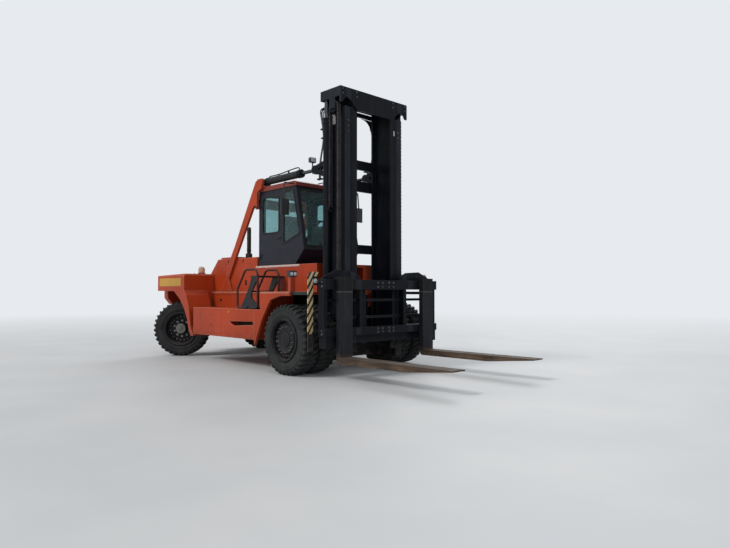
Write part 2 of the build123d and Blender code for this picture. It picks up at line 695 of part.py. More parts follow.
# Outer mast, hung on the drive axle
mast_slack = 10.0
roller_radius = 100.0
roller_x = mast_front - flange_wall - seat_gap - roller_radius
tilt_bracket = (
    # x, height above the tilt rod's pin
    (tilt_eye_x - 45, -45), (tilt_eye_x - 45, 45), (tilt_eye_x + 45, 62), (mast_rear + 10, 150),
    (mast_rear + 10, 60), (tilt_eye_x + 120, -10), (mast_rear + 10, -140), (mast_rear + 10, -230),
    (tilt_eye_x + 30, -62),
)
bracket_heights = (tilt_eye_z - 230, tilt_eye_z + 150)
mast_tie = (mast_rear - mast_slack - 50, mast_rear - mast_slack)
top_tie = (5160.0, 5240.0)
with BuildPart() as outer_mast:
    for side_name, side in both_sides():
        web = across(side, mast_web_outer - mast_web_wall, mast_web_outer)
        block((mast_rear, mast_front), web, (outer_mast_low, outer_mast_top))
        lips = across(side, outer_flange_inner, mast_web_outer - 5)
        for x_low, x_high in ((mast_rear, mast_rear + flange_wall), (mast_front - flange_wall, mast_front)):
            block((x_low, x_high), lips, (outer_mast_low, outer_mast_top))
        bearing = across(side, 620, mast_web_outer)
        round_bar((0, bearing[0], tyre_radius), (0, bearing[1], tyre_radius), axle_tube_radius + 65)
        block((0, mast_rear + 5), bearing, (tyre_radius - 200, tyre_radius + 200))
        round_bar((0, bearing[0] - 1, tyre_radius), (0, bearing[1] + 1, tyre_radius),
                  axle_tube_radius + pin_clearance, mode=Mode.SUBTRACT)
        inner_cheek = tilt_cylinder_y - tilt_eye_half - tilt_cheek_gap
        outer_cheek = tilt_cylinder_y + tilt_eye_half + tilt_cheek_gap
        for near, far in ((inner_cheek - tilt_cheek, inner_cheek), (outer_cheek, outer_cheek + tilt_cheek)):
            side_plate([(x, tilt_eye_z + rise) for x, rise in tilt_bracket], across(side, near, far))
        block((mast_rear - 30, mast_rear + 10), across(side, inner_cheek, outer_cheek), bracket_heights)
        round_bar((tilt_eye_x, side * (inner_cheek - tilt_cheek), tilt_eye_z),
                  (tilt_eye_x, side * (outer_cheek + tilt_cheek), tilt_eye_z), 28)
        anchor = across(side, mast_web_outer - 5, 910)
        block((370, 424), anchor, (chain_low_rear + 20, chain_low_rear + 80))
        block((377, 417), across(side, 786, 896), (chain_low_rear, chain_low_rear + 100), mode=Mode.SUBTRACT)
    ties = ((outer_mast_low, outer_mast_low + 180), crossbar_heights[0], crossbar_heights[1], top_tie)
    for z_low, z_high in ties:
        block(mast_tie, (-mast_web_outer, mast_web_outer), (z_low, z_high))
        for side_name, side in both_sides():
            lug_low = min(z_low, outer_mast_top - 100)
            lug_high = min(z_high, outer_mast_top)
            block((mast_tie[0], mast_rear + 5), across(side, outer_flange_inner + 5, mast_web_outer),
                  (lug_low, lug_high))
            block(mast_tie, across(side, outer_flange_inner + 5, mast_web_outer), (lug_low, z_high))
save(outer_mast, "outer_mast")

# Inner mast with the crosshead and its deep front plate
crosshead_low = mast_top - crosshead_height
front_plate_x = (mast_front + 6, mast_front + 36)
half_curve = (
    # distance from the middle, height
    (460, 5050), (500, 5062), (545, 5098), (600, 5160), (670, 5215), (750, crosshead_low + 5),
    (790, crosshead_low + 5), (870, 5130), (crosshead_half_width, 5130), (crosshead_half_width, mast_top),
)
with BuildPart() as inner_mast:
    for side_name, side in both_sides():
        web = across(side, inner_flange_outer - 40, inner_flange_outer)
        block((mast_rear, mast_front), web, (inner_mast_low, crosshead_low + 5))
        lips = across(side, inner_flange_inner, inner_flange_outer - 5)
        for x_low, x_high in ((mast_rear, mast_rear + flange_wall), (mast_front - flange_wall, mast_front)):
            block((x_low, x_high), lips, (inner_mast_low, crosshead_low + 5))
        for roller_z in (560, 2450):
            round_bar((roller_x, side * (inner_flange_outer - 5), roller_z), (roller_x, side * 715, roller_z),
                      roller_radius)
        block((sheave_x - 80, sheave_x + 80), across(side, 898, 915),
              (sheave_z - 40, crosshead_low + 5))
        round_bar((sheave_x, side * 790, sheave_z), (sheave_x, side * 905, sheave_z), 30)
        round_bar((sheave_x, side * 790, sheave_z), (sheave_x, side * 892, sheave_z), sheave_radius)
    block((mast_rear, front_plate_x[0] + 5), (-crosshead_half_width, crosshead_half_width),
          (crosshead_low, mast_top))
    front_plate([(y, z) for y, z in half_curve] + [(-y, z) for y, z in reversed(half_curve)], front_plate_x)
    for z_low, z_high in ((inner_mast_low, inner_mast_low + 140), crossbar_heights[2]):
        block((mast_rear + 5, mast_rear + 60), (-inner_flange_outer, inner_flange_outer), (z_low, z_high))
save(inner_mast, "inner_mast")

# Lift chains over the crosshead sheaves
chain_thickness = 25.0
with BuildPart() as chains:
    for side_name, side in both_sides():
        strip = across(side, 792, 890)
        inner = sheave_radius + seat_gap
        outer = inner + chain_thickness
        round_bar((sheave_x, strip[0], sheave_z), (sheave_x, strip[1], sheave_z), outer)
        block((sheave_x - outer, sheave_x + outer), strip, (sheave_z - outer, sheave_z), mode=Mode.SUBTRACT)
        round_bar((sheave_x, strip[0] - 1, sheave_z), (sheave_x, strip[1] + 1, sheave_z), inner,
                  mode=Mode.SUBTRACT)
        block((sheave_x + inner, sheave_x + outer), strip, (chain_low_front, sheave_z))
        block((sheave_x - outer, sheave_x - inner), strip, (chain_low_rear, sheave_z))
save(chains, "lift_chains")

# Carriage
carriage_front = fork_front - fork_thickness - seat_gap
top_beam = (1600.0, 1780.0)
low_beam = (760.0, 900.0)
slim_bars = ((1375.0, 1425.0), (1055.0, 1105.0))
carriage_back = (carriage_rear, carriage_rear + 40)
hump = (
    # distance from the middle, height
    (550, 1650), (550, 1850), (760, 1940), (1130, 1960), (1410, 1840), (1540, 1740), (1510, 1590),
)
with BuildPart() as carriage:
    for z_low, z_high in (top_beam, low_beam):
        block((carriage_rear, carriage_front), (-carriage_half_width, carriage_half_width), (z_low, z_high))
    for z_low, z_high in slim_bars:
        block(carriage_back, (-1500, 1500), (z_low, z_high))
    block(carriage_back, (-1300, 1300), (600, low_beam[0] + 5))
    for side_name, side in both_sides():
        block((480, carriage_rear + 20), across(side, 370, 430), (560, 1780))
        front_plate([(side * y, z) for y, z in hump], carriage_back)
        block((carriage_rear, carriage_front - 20), across(side, 1310, 1500), (550, low_beam[0] + 5))
        for y_mid in (600, 1480):
            block((carriage_rear, 1000), across(side, y_mid - 40, y_mid + 40), (760, 1700))
        for roller_z in (700, 1600):
            round_bar((roller_x, side * 425, roller_z),
                      (roller_x, side * (inner_flange_outer - 45), roller_z), roller_radius)
        block((600, carriage_rear + 5), across(side, 776, 912), (1690, 1770))
        block((612, 654), across(side, 786, 896), (1680, 1780), mode=Mode.SUBTRACT)
save(carriage, "carriage")

# Forks hooked over the top beam
for side_name, side in both_sides():
    span = across(side, fork_centre_y - fork_width / 2, fork_centre_y + fork_width / 2)
    back = fork_front - fork_thickness
    blade_low = fork_blade_top - fork_thickness
    hook_low = top_beam[1] + seat_gap
    with BuildPart() as fork:
        side_plate(((back, blade_low + 60), (back, hook_low), (back - 70, hook_low),
                    (back - 70, hook_low + hook_thickness), (fork_front, hook_low + hook_thickness),
                    (fork_front, fork_blade_top),
                    (tips_ahead_of_axle, fork_blade_top),
                    (tips_ahead_of_axle, fork_blade_top - fork_tip_thickness),
                    (2700, blade_low), (back + 60, blade_low)), span)
    save(fork, f"fork_{side_name}")

# Lift cylinders
with BuildPart() as lift_barrels:
    for side_name, side in both_sides():
        low = (lift_cylinder_x, side * lift_cylinder_y, lift_barrel_low)
        high = (lift_cylinder_x, side * lift_cylinder_y, lift_barrel_top)
        round_bar(low, high, lift_barrel_radius)
        round_bar((lift_cylinder_x, side * lift_cylinder_y, lift_barrel_low + 40),
                  (lift_cylinder_x, side * lift_cylinder_y, lift_barrel_top + 1),
                  lift_rod_radius + seat_gap, mode=Mode.SUBTRACT)
        block((lift_cylinder_x - 60, lift_cylinder_x + 60), across(side, mast_web_outer + seat_gap, 900),
              (lift_barrel_low - 60, lift_barrel_low + 20))
save(lift_barrels, "lift_barrels")

with BuildPart() as lift_rods:
    for side_name, side in both_sides():
        round_bar((lift_cylinder_x, side * lift_cylinder_y, lift_barrel_low + 200),
                  (lift_cylinder_x, side * lift_cylinder_y, crosshead_low - seat_gap), lift_rod_radius)
save(lift_rods, "lift_rods")

# Tilt cylinders
rise = tilt_eye_z - tilt_rear_z
run = tilt_eye_x - tilt_rear_x
tilt_length = hypot(run, rise)
along = (run / tilt_length, rise / tilt_length)


def on_tilt_line(distance, side):
    """Point on a tilt cylinder's axis, a distance ahead of its rear pin."""
    return (tilt_rear_x + along[0] * distance, side * tilt_cylinder_y, tilt_rear_z + along[1] * distance)


for side_name, side in both_sides():
    eye_span = (side * tilt_cylinder_y - tilt_eye_half, side * tilt_cylinder_y + tilt_eye_half)
    with BuildPart() as tilt_barrel:
        round_bar(on_tilt_line(100, side), on_tilt_line(tilt_barrel_length, side), tilt_barrel_radius)
        round_bar((tilt_rear_x, eye_span[0], tilt_rear_z), (tilt_rear_x, eye_span[1], tilt_rear_z), 75)
        round_bar(on_tilt_line(0, side), on_tilt_line(120, side), 42)
        round_bar((tilt_rear_x, eye_span[0], tilt_rear_z), (tilt_rear_x, eye_span[1], tilt_rear_z),
                  tilt_pin_radius + pin_clearance, mode=Mode.SUBTRACT)
        round_bar(on_tilt_line(200, side), on_tilt_line(tilt_barrel_length + 1, side),
                  tilt_rod_radius + seat_gap, mode=Mode.SUBTRACT)
    save(tilt_barrel, f"tilt_barrel_{side_name}")
    with BuildPart() as tilt_rod:
        round_bar(on_tilt_line(575, side), on_tilt_line(tilt_length - 70, side), tilt_rod_radius)
        round_bar((tilt_eye_x, eye_span[0], tilt_eye_z), (tilt_eye_x, eye_span[1], tilt_eye_z),
                  tilt_eye_radius)
        round_bar((tilt_eye_x, eye_span[0], tilt_eye_z), (tilt_eye_x, eye_span[1], tilt_eye_z), tilt_eye_bore,
                  mode=Mode.SUBTRACT)
    save(tilt_rod, f"tilt_rod_{side_name}")

# Mirrors on the cab's front posts
with BuildPart() as mirrors:
    for side_name, side in both_sides():
        bent_tube(((-850, side * (cab_half_width + roof_overhang + seat_gap), 3800),
                   (-850, side * 1035, 3800), (-815, side * 1035, 3440)), 14, 40)
        block((-835, -795), across(side, 940, 1130), (3130, 3450))
save(mirrors, "mirrors")

# Headlamps on the fenders
with BuildPart() as lamps:
    for side_name, side in both_sides():
        block((-60, 40), across(side, 1380, 1540), (1840, 1950))
        block((-50, 30), across(side, 1405, 1515), (fender_top + seat_gap, 1845))
save(lamps, "headlamps")
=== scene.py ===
"""Heavy container-yard forklift: finishes, tyres, chains, seat, trim and fasteners around the frame.

Metres, in the frame of the solids: X forward, Y to the left, Z up, origin on the ground.
Lengths along the truck are given from the front axle and placed by at().
"""

from math import cos, pi, radians, sin, tau

import bmesh
import bpy
from mathutils import Matrix, Vector


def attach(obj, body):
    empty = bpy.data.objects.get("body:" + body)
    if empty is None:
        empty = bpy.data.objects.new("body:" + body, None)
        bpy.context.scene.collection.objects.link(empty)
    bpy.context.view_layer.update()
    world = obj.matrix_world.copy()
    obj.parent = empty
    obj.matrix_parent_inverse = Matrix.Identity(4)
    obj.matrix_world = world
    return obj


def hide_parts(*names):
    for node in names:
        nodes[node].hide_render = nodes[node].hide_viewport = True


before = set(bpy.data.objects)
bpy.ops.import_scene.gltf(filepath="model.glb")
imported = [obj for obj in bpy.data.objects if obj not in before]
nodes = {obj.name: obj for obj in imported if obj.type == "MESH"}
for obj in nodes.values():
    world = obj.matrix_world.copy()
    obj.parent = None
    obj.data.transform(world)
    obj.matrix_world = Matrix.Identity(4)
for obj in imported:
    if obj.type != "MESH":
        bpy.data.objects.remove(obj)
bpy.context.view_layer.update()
scene = bpy.context.scene

axle_x = 0.980
axle_z = 0.660
SIDES = (("right", -1), ("left", 1))
BOTH = (-1, 1)


def at(x, y=0.0, z=0.0):
    """Point given from the front axle along the truck."""
    return Vector((axle_x + x, y, z))


# Camera and lights

photo_width_px = 730
focal_px = 610.55
camera_place = (9.2776, -8.4371, 1.5672)
camera_turn = radians(43.769)
camera_pitch = radians(1.6206)


def placed(name, data):
    """Object for some data, in the scene."""
    made = bpy.data.objects.new(name, data)
    scene.collection.objects.link(made)
    return made


def make_camera():
    data = bpy.data.cameras.new("camera")
    data.sensor_width = 36.0
    data.lens = focal_px / photo_width_px * data.sensor_width
    data.clip_end = 400
    camera = placed("camera", data)
    camera.location = at(*camera_place)
    level = cos(camera_pitch)
    look = Vector((-cos(camera_turn) * level, sin(camera_turn) * level, sin(camera_pitch)))
    camera.rotation_euler = look.to_track_quat("-Z", "Y").to_euler()
    scene.camera = camera


def sun(name, place, strength, spread_angle, colour):
    """Soft distant light shining from a place towards the truck."""
    data = bpy.data.lights.new(name, "SUN")
    data.energy = strength
    data.angle = radians(spread_angle)
    data.color = colour
    placed(name, data).rotation_euler = (-Vector(place)).to_track_quat("-Z", "Y").to_euler()


# Node helpers


def node(tree, kind, inputs=None, **settings):
    """Shader node with its settings, and with values or links on its inputs."""
    made = tree.nodes.new("ShaderNode" + kind)
    for key, value in settings.items():
        setattr(made, key, value)
    for key, value in (inputs or {}).items():
        if isinstance(value, bpy.types.NodeSocket):
            tree.links.new(value, made.inputs[key])
        else:
            made.inputs[key].default_value = value
    return made


class Look:
    """Material in the making: object coordinates, the surface's facing and short calls for its nodes."""

    def __init__(self, name, roughness, values=None):
        self.material = bpy.data.materials.new(name)
        self.material.use_nodes = True
        self.tree = self.material.node_tree
        self.shader = self.tree.nodes["Principled BSDF"]
        for key, value in {"Roughness": roughness, "Coat Roughness": 0.22, **(values or {})}.items():
            self.shader.inputs[key].default_value = value
        self.coords = self.node("TexCoord").outputs["Object"]
        self.x, y, self.height = self.node("SeparateXYZ", {0: self.coords}).outputs
        self.width = self.maths("ABSOLUTE", y, 0.0)
        self.normal = self.node("NewGeometry").outputs["Normal"]
        self.facing = list(self.node("SeparateXYZ", {0: self.normal}).outputs)

    def node(self, kind, inputs=None, **settings):
        return node(self.tree, kind, inputs, **settings)

    def spread(self, value, low, high, to_low=0.0, to_high=1.0):
        """Value mapped from one range to another, clamped."""
        inputs = {"Value": value, "From Min": low, "From Max": high, "To Min": to_low, "To Max": to_high}
        return self.node("MapRange", inputs).outputs[0]

    def noise(self, scale, detail, stretch=None):
        coords = self.coords
        if stretch:
            coords = self.node("Mapping", {"Vector": coords, "Scale": stretch}).outputs[0]
        return self.node("TexNoise", {"Vector": coords, "Scale": scale, "Detail": detail}).outputs[0]

    def patches(self, scale, detail, low, high, to_low=0.0, to_high=1.0, stretch=None):
        """Noise mapped from one range to another."""
        return self.spread(self.noise(scale, detail, stretch), low, high, to_low, to_high)

    def waves(self, scale, axis, **inputs):
        inputs = {"Vector": self.coords, "Scale": scale, **inputs}
        return self.node("TexWave", inputs, bands_direction=axis).outputs[1]

    def maths(self, operation, first, *others):
        """Values joined one after the other by one operation."""
        for other in others:
            first = self.node("Math", {0: first, 1: other}, operation=operation).outputs[0]
        return first

    def times(self, *values):
        return self.maths("MULTIPLY", *values)

    def plus(self, *values):
        return self.maths("ADD", *values)

    def above(self, value, limit):
        return self.maths("GREATER_THAN", value, limit)

    def below(self, value, limit):
        return self.maths("LESS_THAN", value, limit)

    def within(self, value, low, high):
        """One where a value lies between two limits."""
        return self.times(self.above(value, low), self.below(value, high))

    def blend(self, factor, first, second):
        """Colour between two colours."""
        first, second = ((*tone, 1.0) if isinstance(tone, tuple) else tone for tone in (first, second))
        return self.node("Mix", {0: factor, 6: first, 7: second}, data_type="RGBA").outputs[2]

    def edges(self, radius):
        """Rounded normal for the edges, and how much of an edge a place is."""
        rounded = self.node("Bevel", {"Radius": radius}, samples=4).outputs[0]
        likeness = self.node("VectorMath", {0: rounded, 1: self.normal}, operation="DOT_PRODUCT")
        return rounded, self.spread(likeness.outputs["Value"], 0.995, 0.90)

    def bump(self, height, strength, distance, normal=None):
        inputs = {"Height": height, "Strength": strength, "Distance": distance}
        if normal is not None:
            inputs["Normal"] = normal
        return self.node("Bump", inputs).outputs[0]

    def done(self, colour, roughness=None, normal=None):
        """The material, with its colour, roughness and normal linked."""
        for key, value in (("Base Color", colour), ("Roughness", roughness), ("Normal", normal)):
            if value is not None:
                self.tree.links.new(value, self.shader.inputs[key])
        return self.material


def tint(colour, share):
    return tuple(min(1.0, c * share) for c in colour)


# Paints

DUST = (0.19, 0.165, 0.140)
MUD = (0.060, 0.046, 0.036)
ORANGE = (0.360, 0.0405, 0.0090)
BLACK = (0.0045, 0.0056, 0.0092)
stripe_pitch = 0.168
stripe_dark_share = 0.56
hook_foot_z = 1.570


def paint(name, colour, roughness=0.38, worn=(0.10, 0.045, 0.03), wear=0.55, dust=0.30, mud_top=1.15,
          coat=0.12, edge=0.006, second=None, specular=0.35, edge_highlight=None):
    """Painted plate: faded patches, rain streaks, dust on top, mud low down, a painted highlight along the
    edges, and chipped edges.
    """
    look = Look(name, roughness, {"Coat Weight": coat, "Specular IOR Level": specular})
    if second is not None:
        shown = second(look)
    else:
        shown = look.blend(look.patches(1.1, 3.0, 0.35, 0.7), tint(colour, 0.88), tint(colour, 1.10))
    streaks = look.patches(5.0, 5.0, 0.52, 0.74, 0.0, 0.5 * dust, (3.0, 3.0, 0.25))
    shown = look.blend(streaks, shown, tint(DUST, 0.75))
    speckle = look.noise(9.0, 8.0)
    low = look.times(look.spread(look.height, mud_top, 0.15), look.spread(speckle, 0.42, 0.62, 0.15, 0.9))
    shown = look.blend(low, shown, MUD)
    upward = look.spread(look.facing[2], 0.55, 0.95)
    settled = look.times(upward, look.patches(3.0, 6.0, 0.40, 0.66, 0.25, 1.0), dust)
    shown = look.blend(settled, shown, DUST)
    rounded, rim = look.edges(edge)
    # Painted highlight: the edges made paler where light catches them.
    if edge_highlight is not None:
        shown = look.blend(look.times(rim, 0.7), shown, edge_highlight)
    chips = look.times(rim, look.patches(26.0, 8.0, 0.50, 0.62, 0.0, wear))
    dulled = look.plus(look.times(low, 0.35), look.times(settled, 0.5))
    variation = look.spread(speckle, 0.3, 0.7, roughness - 0.07, roughness + 0.10)
    dents = look.bump(look.noise(2.2, 2.0), 0.05, 0.05, rounded)
    peel = look.bump(look.noise(160.0, 2.0), 0.06, 0.002, dents)
    return look.done(look.blend(chips, shown, worn), look.plus(variation, dulled), peel)


def stripes(look):
    """Cream and black diagonals down to the plate's plain lower end, black on the lamp box."""
    slope = look.plus(look.height, look.times(look.width, 1.65))
    turn = look.maths("FRACT", look.maths("DIVIDE", slope, stripe_pitch), 0.0)
    lamp_box = look.times(look.below(look.width, 1.509), look.below(look.height, 1.835))
    black = look.maths("MAXIMUM", look.above(turn, stripe_dark_share), look.below(look.height, 0.80),
                       look.below(look.x, axle_x + 0.672), lamp_box)
    cream = look.blend(look.patches(14.0, 6.0, 0.35, 0.65), (0.46, 0.30, 0.12), (0.60, 0.47, 0.28))
    return look.blend(black, cream, (0.010, 0.010, 0.012))


def highlit_lips(look):
    """Orange, with a painted highlight along the fenders' outer edge and the ledge behind them."""
    faded = look.patches(1.1, 3.0, 0.35, 0.7)
    base = look.blend(faded, tint(ORANGE, 0.84), tint(ORANGE, 1.04))
    fender = look.times(look.above(look.width, 1.585), look.within(look.height, 1.525, 1.562))
    ledge = look.times(look.within(look.width, 0.862, 0.872), look.within(look.height, 1.528, 1.562))
    lips = look.times(look.plus(fender, ledge), look.spread(faded, 0.0, 1.0, 0.55, 0.9))
    return look.blend(lips, base, (0.42, 0.17, 0.12))


def mast_lit_faces(look):
    """Near-black, with a painted highlight on the front faces of the outer columns and on the crosshead's
    ends.
    """
    forward = look.times(look.above(look.facing[0], 0.7), look.within(look.width, 0.645, 0.775))
    sideways = look.times(look.above(look.width, 0.90), look.above(look.height, 5.05))
    share = look.times(look.maths("MAXIMUM", forward, sideways), look.patches(2.4, 5.0, 0.3, 0.7, 0.4, 1.0))
    return look.blend(share, BLACK, (0.0175, 0.0215, 0.0270))


def lamp_or_post(look):
    """Dark lamp housing on an orange post."""
    return look.blend(look.above(look.height, 1.842), tint(ORANGE, 0.94), (0.022, 0.026, 0.032))


def rails_or_steps(look):
    """Hoop rails in dark red, stringers, treads and foot plates in black."""
    clear = look.plus(look.above(look.width, 1.5305), look.within(look.width, 1.0205, 1.060))
    shared = look.plus(look.within(look.width, 1.5165, 1.5295), look.within(look.width, 1.0065, 1.0195))
    sideways = look.above(look.maths("ABSOLUTE", look.facing[1], 0.0), 0.3)
    tube = look.plus(clear, look.times(shared, sideways))
    treads, feet = (look.times(look.within(look.x, axle_x + rear, axle_x + front),
                               look.within(look.height, low, high))
                    for rear, front, low, high in ((-1.43, -1.05, 1.30, 1.885), (-1.60, -1.0, 1.20, 1.255)))
    rail = look.times(tube, look.maths("SUBTRACT", 1.0, look.plus(treads, feet)))
    return look.blend(rail, (0.009, 0.009, 0.011), (0.036, 0.0085, 0.0065))


def shank_or_blade(look):
    """Black shank with a painted highlight line under its darker hook, worn brown blade."""
    grain = look.noise(7.0, 7.0, (0.4, 1.4, 2.0))
    worn = look.blend(look.spread(grain, 0.38, 0.62), (0.045, 0.028, 0.019), (0.120, 0.078, 0.050))
    edge = look.spread(look.plus(look.height, look.times(grain, 0.16)), 0.44, 0.53)
    hook = look.above(look.height, hook_foot_z)
    shank = look.blend(hook, (0.0115, 0.0125, 0.0170), (0.0050, 0.0062, 0.0070))
    # Painted highlight along the shank's top edge, just under the hook.
    line = look.within(look.height, hook_foot_z - 0.025, hook_foot_z)
    line_highlight = look.times(line, look.spread(grain, 0.3, 0.6, 0.5, 1.0))
    return look.blend(edge, worn, look.blend(line_highlight, shank, (0.060, 0.055, 0.056)))


# Metal, rubber, plastic, cloth, glass and lenses


def metal(name, light, dark, roughness, scale=18.0, metallic=0.85):
    """Bare or oily metal with patches of two tones and bright edges."""
    look = Look(name, roughness, {"Metallic": metallic})
    tones = look.patches(scale, 7.0, 0.38, 0.62)
    rounded, rim = look.edges(0.004)
    colour = look.blend(look.times(rim, 0.5), look.blend(tones, dark, light), tint(light, 1.6))
    uneven = look.spread(tones, 0.0, 1.0, roughness + 0.15, roughness - 0.08)
    return look.done(colour, uneven, look.bump(look.noise(scale * 6, 4.0), 0.12, 0.002, rounded))


def rubber(name, colour, dusty, dust_share, roughness=0.85):
    """Tyre, hose or seal rubber with patches and specks of dried mud."""
    look = Look(name, roughness, {"Specular IOR Level": 0.3})
    base = look.blend(look.patches(4.0, 7.0, 0.36, 0.64, 0.0, dust_share), colour, dusty)
    specked = look.blend(look.patches(42.0, 5.0, 0.45, 0.7, 0.0, 0.35), base, tint(dusty, 1.15))
    return look.done(specked, normal=look.bump(look.noise(120.0, 4.0), 0.25, 0.003))


def plastic(name, colour, roughness=0.55, grain=0.2):
    look = Look(name, roughness)
    tones = look.blend(look.patches(6.0, 6.0, 0.35, 0.65), tint(colour, 0.85), tint(colour, 1.25))
    return look.done(tones, normal=look.bump(look.noise(420.0, 2.0), grain, 0.001))


def fabric(name, colour):
    """Woven seat cover."""
    look = Look(name, 0.9, {"Specular IOR Level": 0.25, "Sheen Weight": 0.35})
    weave = look.times(*(look.waves(190.0, axis, Distortion=0.6, Detail=1.0) for axis in "XY"))
    return look.done(look.blend(weave, tint(colour, 0.7), tint(colour, 1.5)),
                     normal=look.bump(weave, 0.4, 0.0015))


def glass(name, colour, roughness=0.015):
    look = Look(name, roughness, {"Transmission Weight": 0.92, "IOR": 1.1})
    film = look.patches(2.5, 6.0, 0.4, 0.75)
    return look.done(look.blend(film, colour, tint(colour, 0.86)),
                     look.spread(film, 0.0, 1.0, roughness, roughness + 0.03))


def lamp(name, colour, glow):
    """Moulded lens with fine ribs."""
    look = Look(name, 0.2, {"Coat Weight": 0.1, "Specular IOR Level": 0.3, "Emission Color": (*colour, 1.0),
                            "Emission Strength": glow})
    ribs = look.waves(34.0, "Y")
    return look.done(look.blend(ribs, tint(colour, 0.75), colour), normal=look.bump(ribs, 0.5, 0.002))


# The edge highlight colours given to these paints are painted highlights along the edges.
bodywork = {"mud_top": 0.85, "coat": 0.03, "specular": 0.18, "edge_highlight": (0.60, 0.25, 0.17)}
dull = {"coat": 0.0, "wear": 0.5, "worn": (0.06, 0.05, 0.045)}
materials = {
    "body": paint("body_orange", ORANGE, dust=0.10, edge=0.026, **bodywork),
    "deck": paint("deck_orange", ORANGE, dust=0.18, edge=0.018, second=highlit_lips, **bodywork),
    "trim_orange": paint("trim_orange", (0.190, 0.026, 0.014), wear=0.7, dust=0.2, edge=0.010,
                         edge_highlight=(0.36, 0.13, 0.10)),
    "headlamp": paint("headlamp_housing", ORANGE, dust=0.15, second=lamp_or_post),
    "frame": paint("frame_black", (0.009, 0.009, 0.011), 0.6, (0.06, 0.035, 0.025), dust=0.2, coat=0.0,
                   specular=0.15),
    "mast": paint("mast_black", BLACK, 0.45, dust=0.08, mud_top=0.7, edge=0.010, second=mast_lit_faces,
                  specular=0.12, edge_highlight=(0.034, 0.038, 0.050), **dull),
    "cylinder": paint("cylinder_grey", (0.0150, 0.0185, 0.0190), 0.42, dust=0.12, edge=0.010, specular=0.2,
                      edge_highlight=(0.050, 0.055, 0.055), **dull),
    "cab": paint("cab_grey", (0.0110, 0.0125, 0.0215), 0.45, (0.07, 0.07, 0.08), 0.3, 0.06, coat=0.05,
                 edge=0.010, specular=0.25, edge_highlight=(0.045, 0.045, 0.060)),
    "guard": paint("guard_stripes", BLACK, 0.5, (0.10, 0.06, 0.04), 0.8, 0.2, second=stripes),
    "steps": paint("steps_and_rails", BLACK, 0.5, (0.10, 0.07, 0.06), 0.6, 0.2, second=rails_or_steps,
                   specular=0.25),
    "fork": paint("fork_shank_and_blade", BLACK, 0.6, (0.18, 0.13, 0.09), 0.8, 0.25, 0.5, 0.0,
                  second=shank_or_blade, specular=0.2),
    "rim": paint("rim_grey", (0.0125, 0.0125, 0.0150), 0.6, (0.06, 0.052, 0.048), 0.5, 0.25, 0.45, 0.0,
                 0.008, specular=0.2, edge_highlight=(0.075, 0.074, 0.078)),
    "hub": paint("hub_grey", (0.125, 0.132, 0.118), 0.5, (0.20, 0.19, 0.17), 0.7, 0.3, coat=0.1),
    "plate": paint("plate_white", (0.42, 0.43, 0.43), 0.45, (0.30, 0.27, 0.24), 0.9, 0.2),
    # Pale pink of the deck's edge strips: partly their trim, partly a painted highlight along the deck's
    # edge.
    "strip": paint("edge_strip", (0.58, 0.42, 0.38), 0.5, (0.16, 0.09, 0.07), 0.8, 0.3),
    "yellow": paint("plate_yellow", (0.46, 0.24, 0.022), 0.45, (0.30, 0.16, 0.05), 0.9, 0.2),
    "steel": metal("bright_steel", (0.42, 0.41, 0.39), (0.20, 0.19, 0.175), 0.42),
    "nut": metal("nut_steel", (0.150, 0.145, 0.140), (0.060, 0.055, 0.052), 0.5),
    "chrome": metal("rod_chrome", (0.125, 0.13, 0.14), (0.08, 0.083, 0.09), 0.2, 5.0, 1.0),
    "chain": metal("chain_steel", (0.060, 0.056, 0.060), (0.030, 0.028, 0.031), 0.42, 9.0, 0.5),
    "exhaust": metal("exhaust_steel", (0.055, 0.046, 0.040), (0.022, 0.019, 0.018), 0.6, 9.0, 0.5),
    "iron": metal("engine_iron", (0.11, 0.11, 0.115), (0.04, 0.038, 0.036), 0.55, 8.0, 0.5),
    "mirror": metal("mirror_glass", (0.75, 0.78, 0.80), (0.68, 0.71, 0.73), 0.05, 4.0, 1.0),
    "tyre_front": rubber("tyre_dusty", (0.0105, 0.0115, 0.0125), (0.040, 0.042, 0.040), 0.55),
    "tyre_rear": rubber("tyre_dark", (0.0105, 0.0105, 0.0120), (0.036, 0.034, 0.033), 0.5),
    "hose": rubber("hose_rubber", (0.030, 0.034, 0.040), (0.085, 0.095, 0.110), 0.6, 0.45),
    "seal": rubber("window_seal", (0.007, 0.007, 0.008), (0.02, 0.02, 0.02), 0.3, 0.65),
    "seam": rubber("panel_seam", (0.110, 0.018, 0.008), (0.15, 0.028, 0.014), 0.4, 0.8),
    "slot": rubber("dark_slot", (0.016, 0.005, 0.004), (0.03, 0.009, 0.007), 0.3, 0.8),
    "grip": rubber("recess_grip", (0.028, 0.014, 0.012), (0.075, 0.030, 0.020), 0.5, 0.9),
    "plastic": plastic("cab_plastic", (0.014, 0.0145, 0.016)),
    "dial": plastic("dial_face", (0.55, 0.56, 0.56), 0.35, 0.05),
    "fabric": fabric("seat_fabric", (0.030, 0.033, 0.042)),
    "glass": glass("window_glass", (0.46, 0.66, 0.67)),
    "lens": lamp("lamp_lens", (0.52, 0.56, 0.60), 0.05),
    "red_lens": lamp("tail_lens", (0.34, 0.010, 0.009), 0.05),
    "amber_lens": lamp("amber_lens", (0.66, 0.20, 0.016), 0.08),
    "pale_lens": lamp("beacon_lens", (0.50, 0.30, 0.20), 0.04),
}

# Stage: a floor that fades into the backdrop

BACKDROP = (0.80, 0.83, 0.86, 1.0)


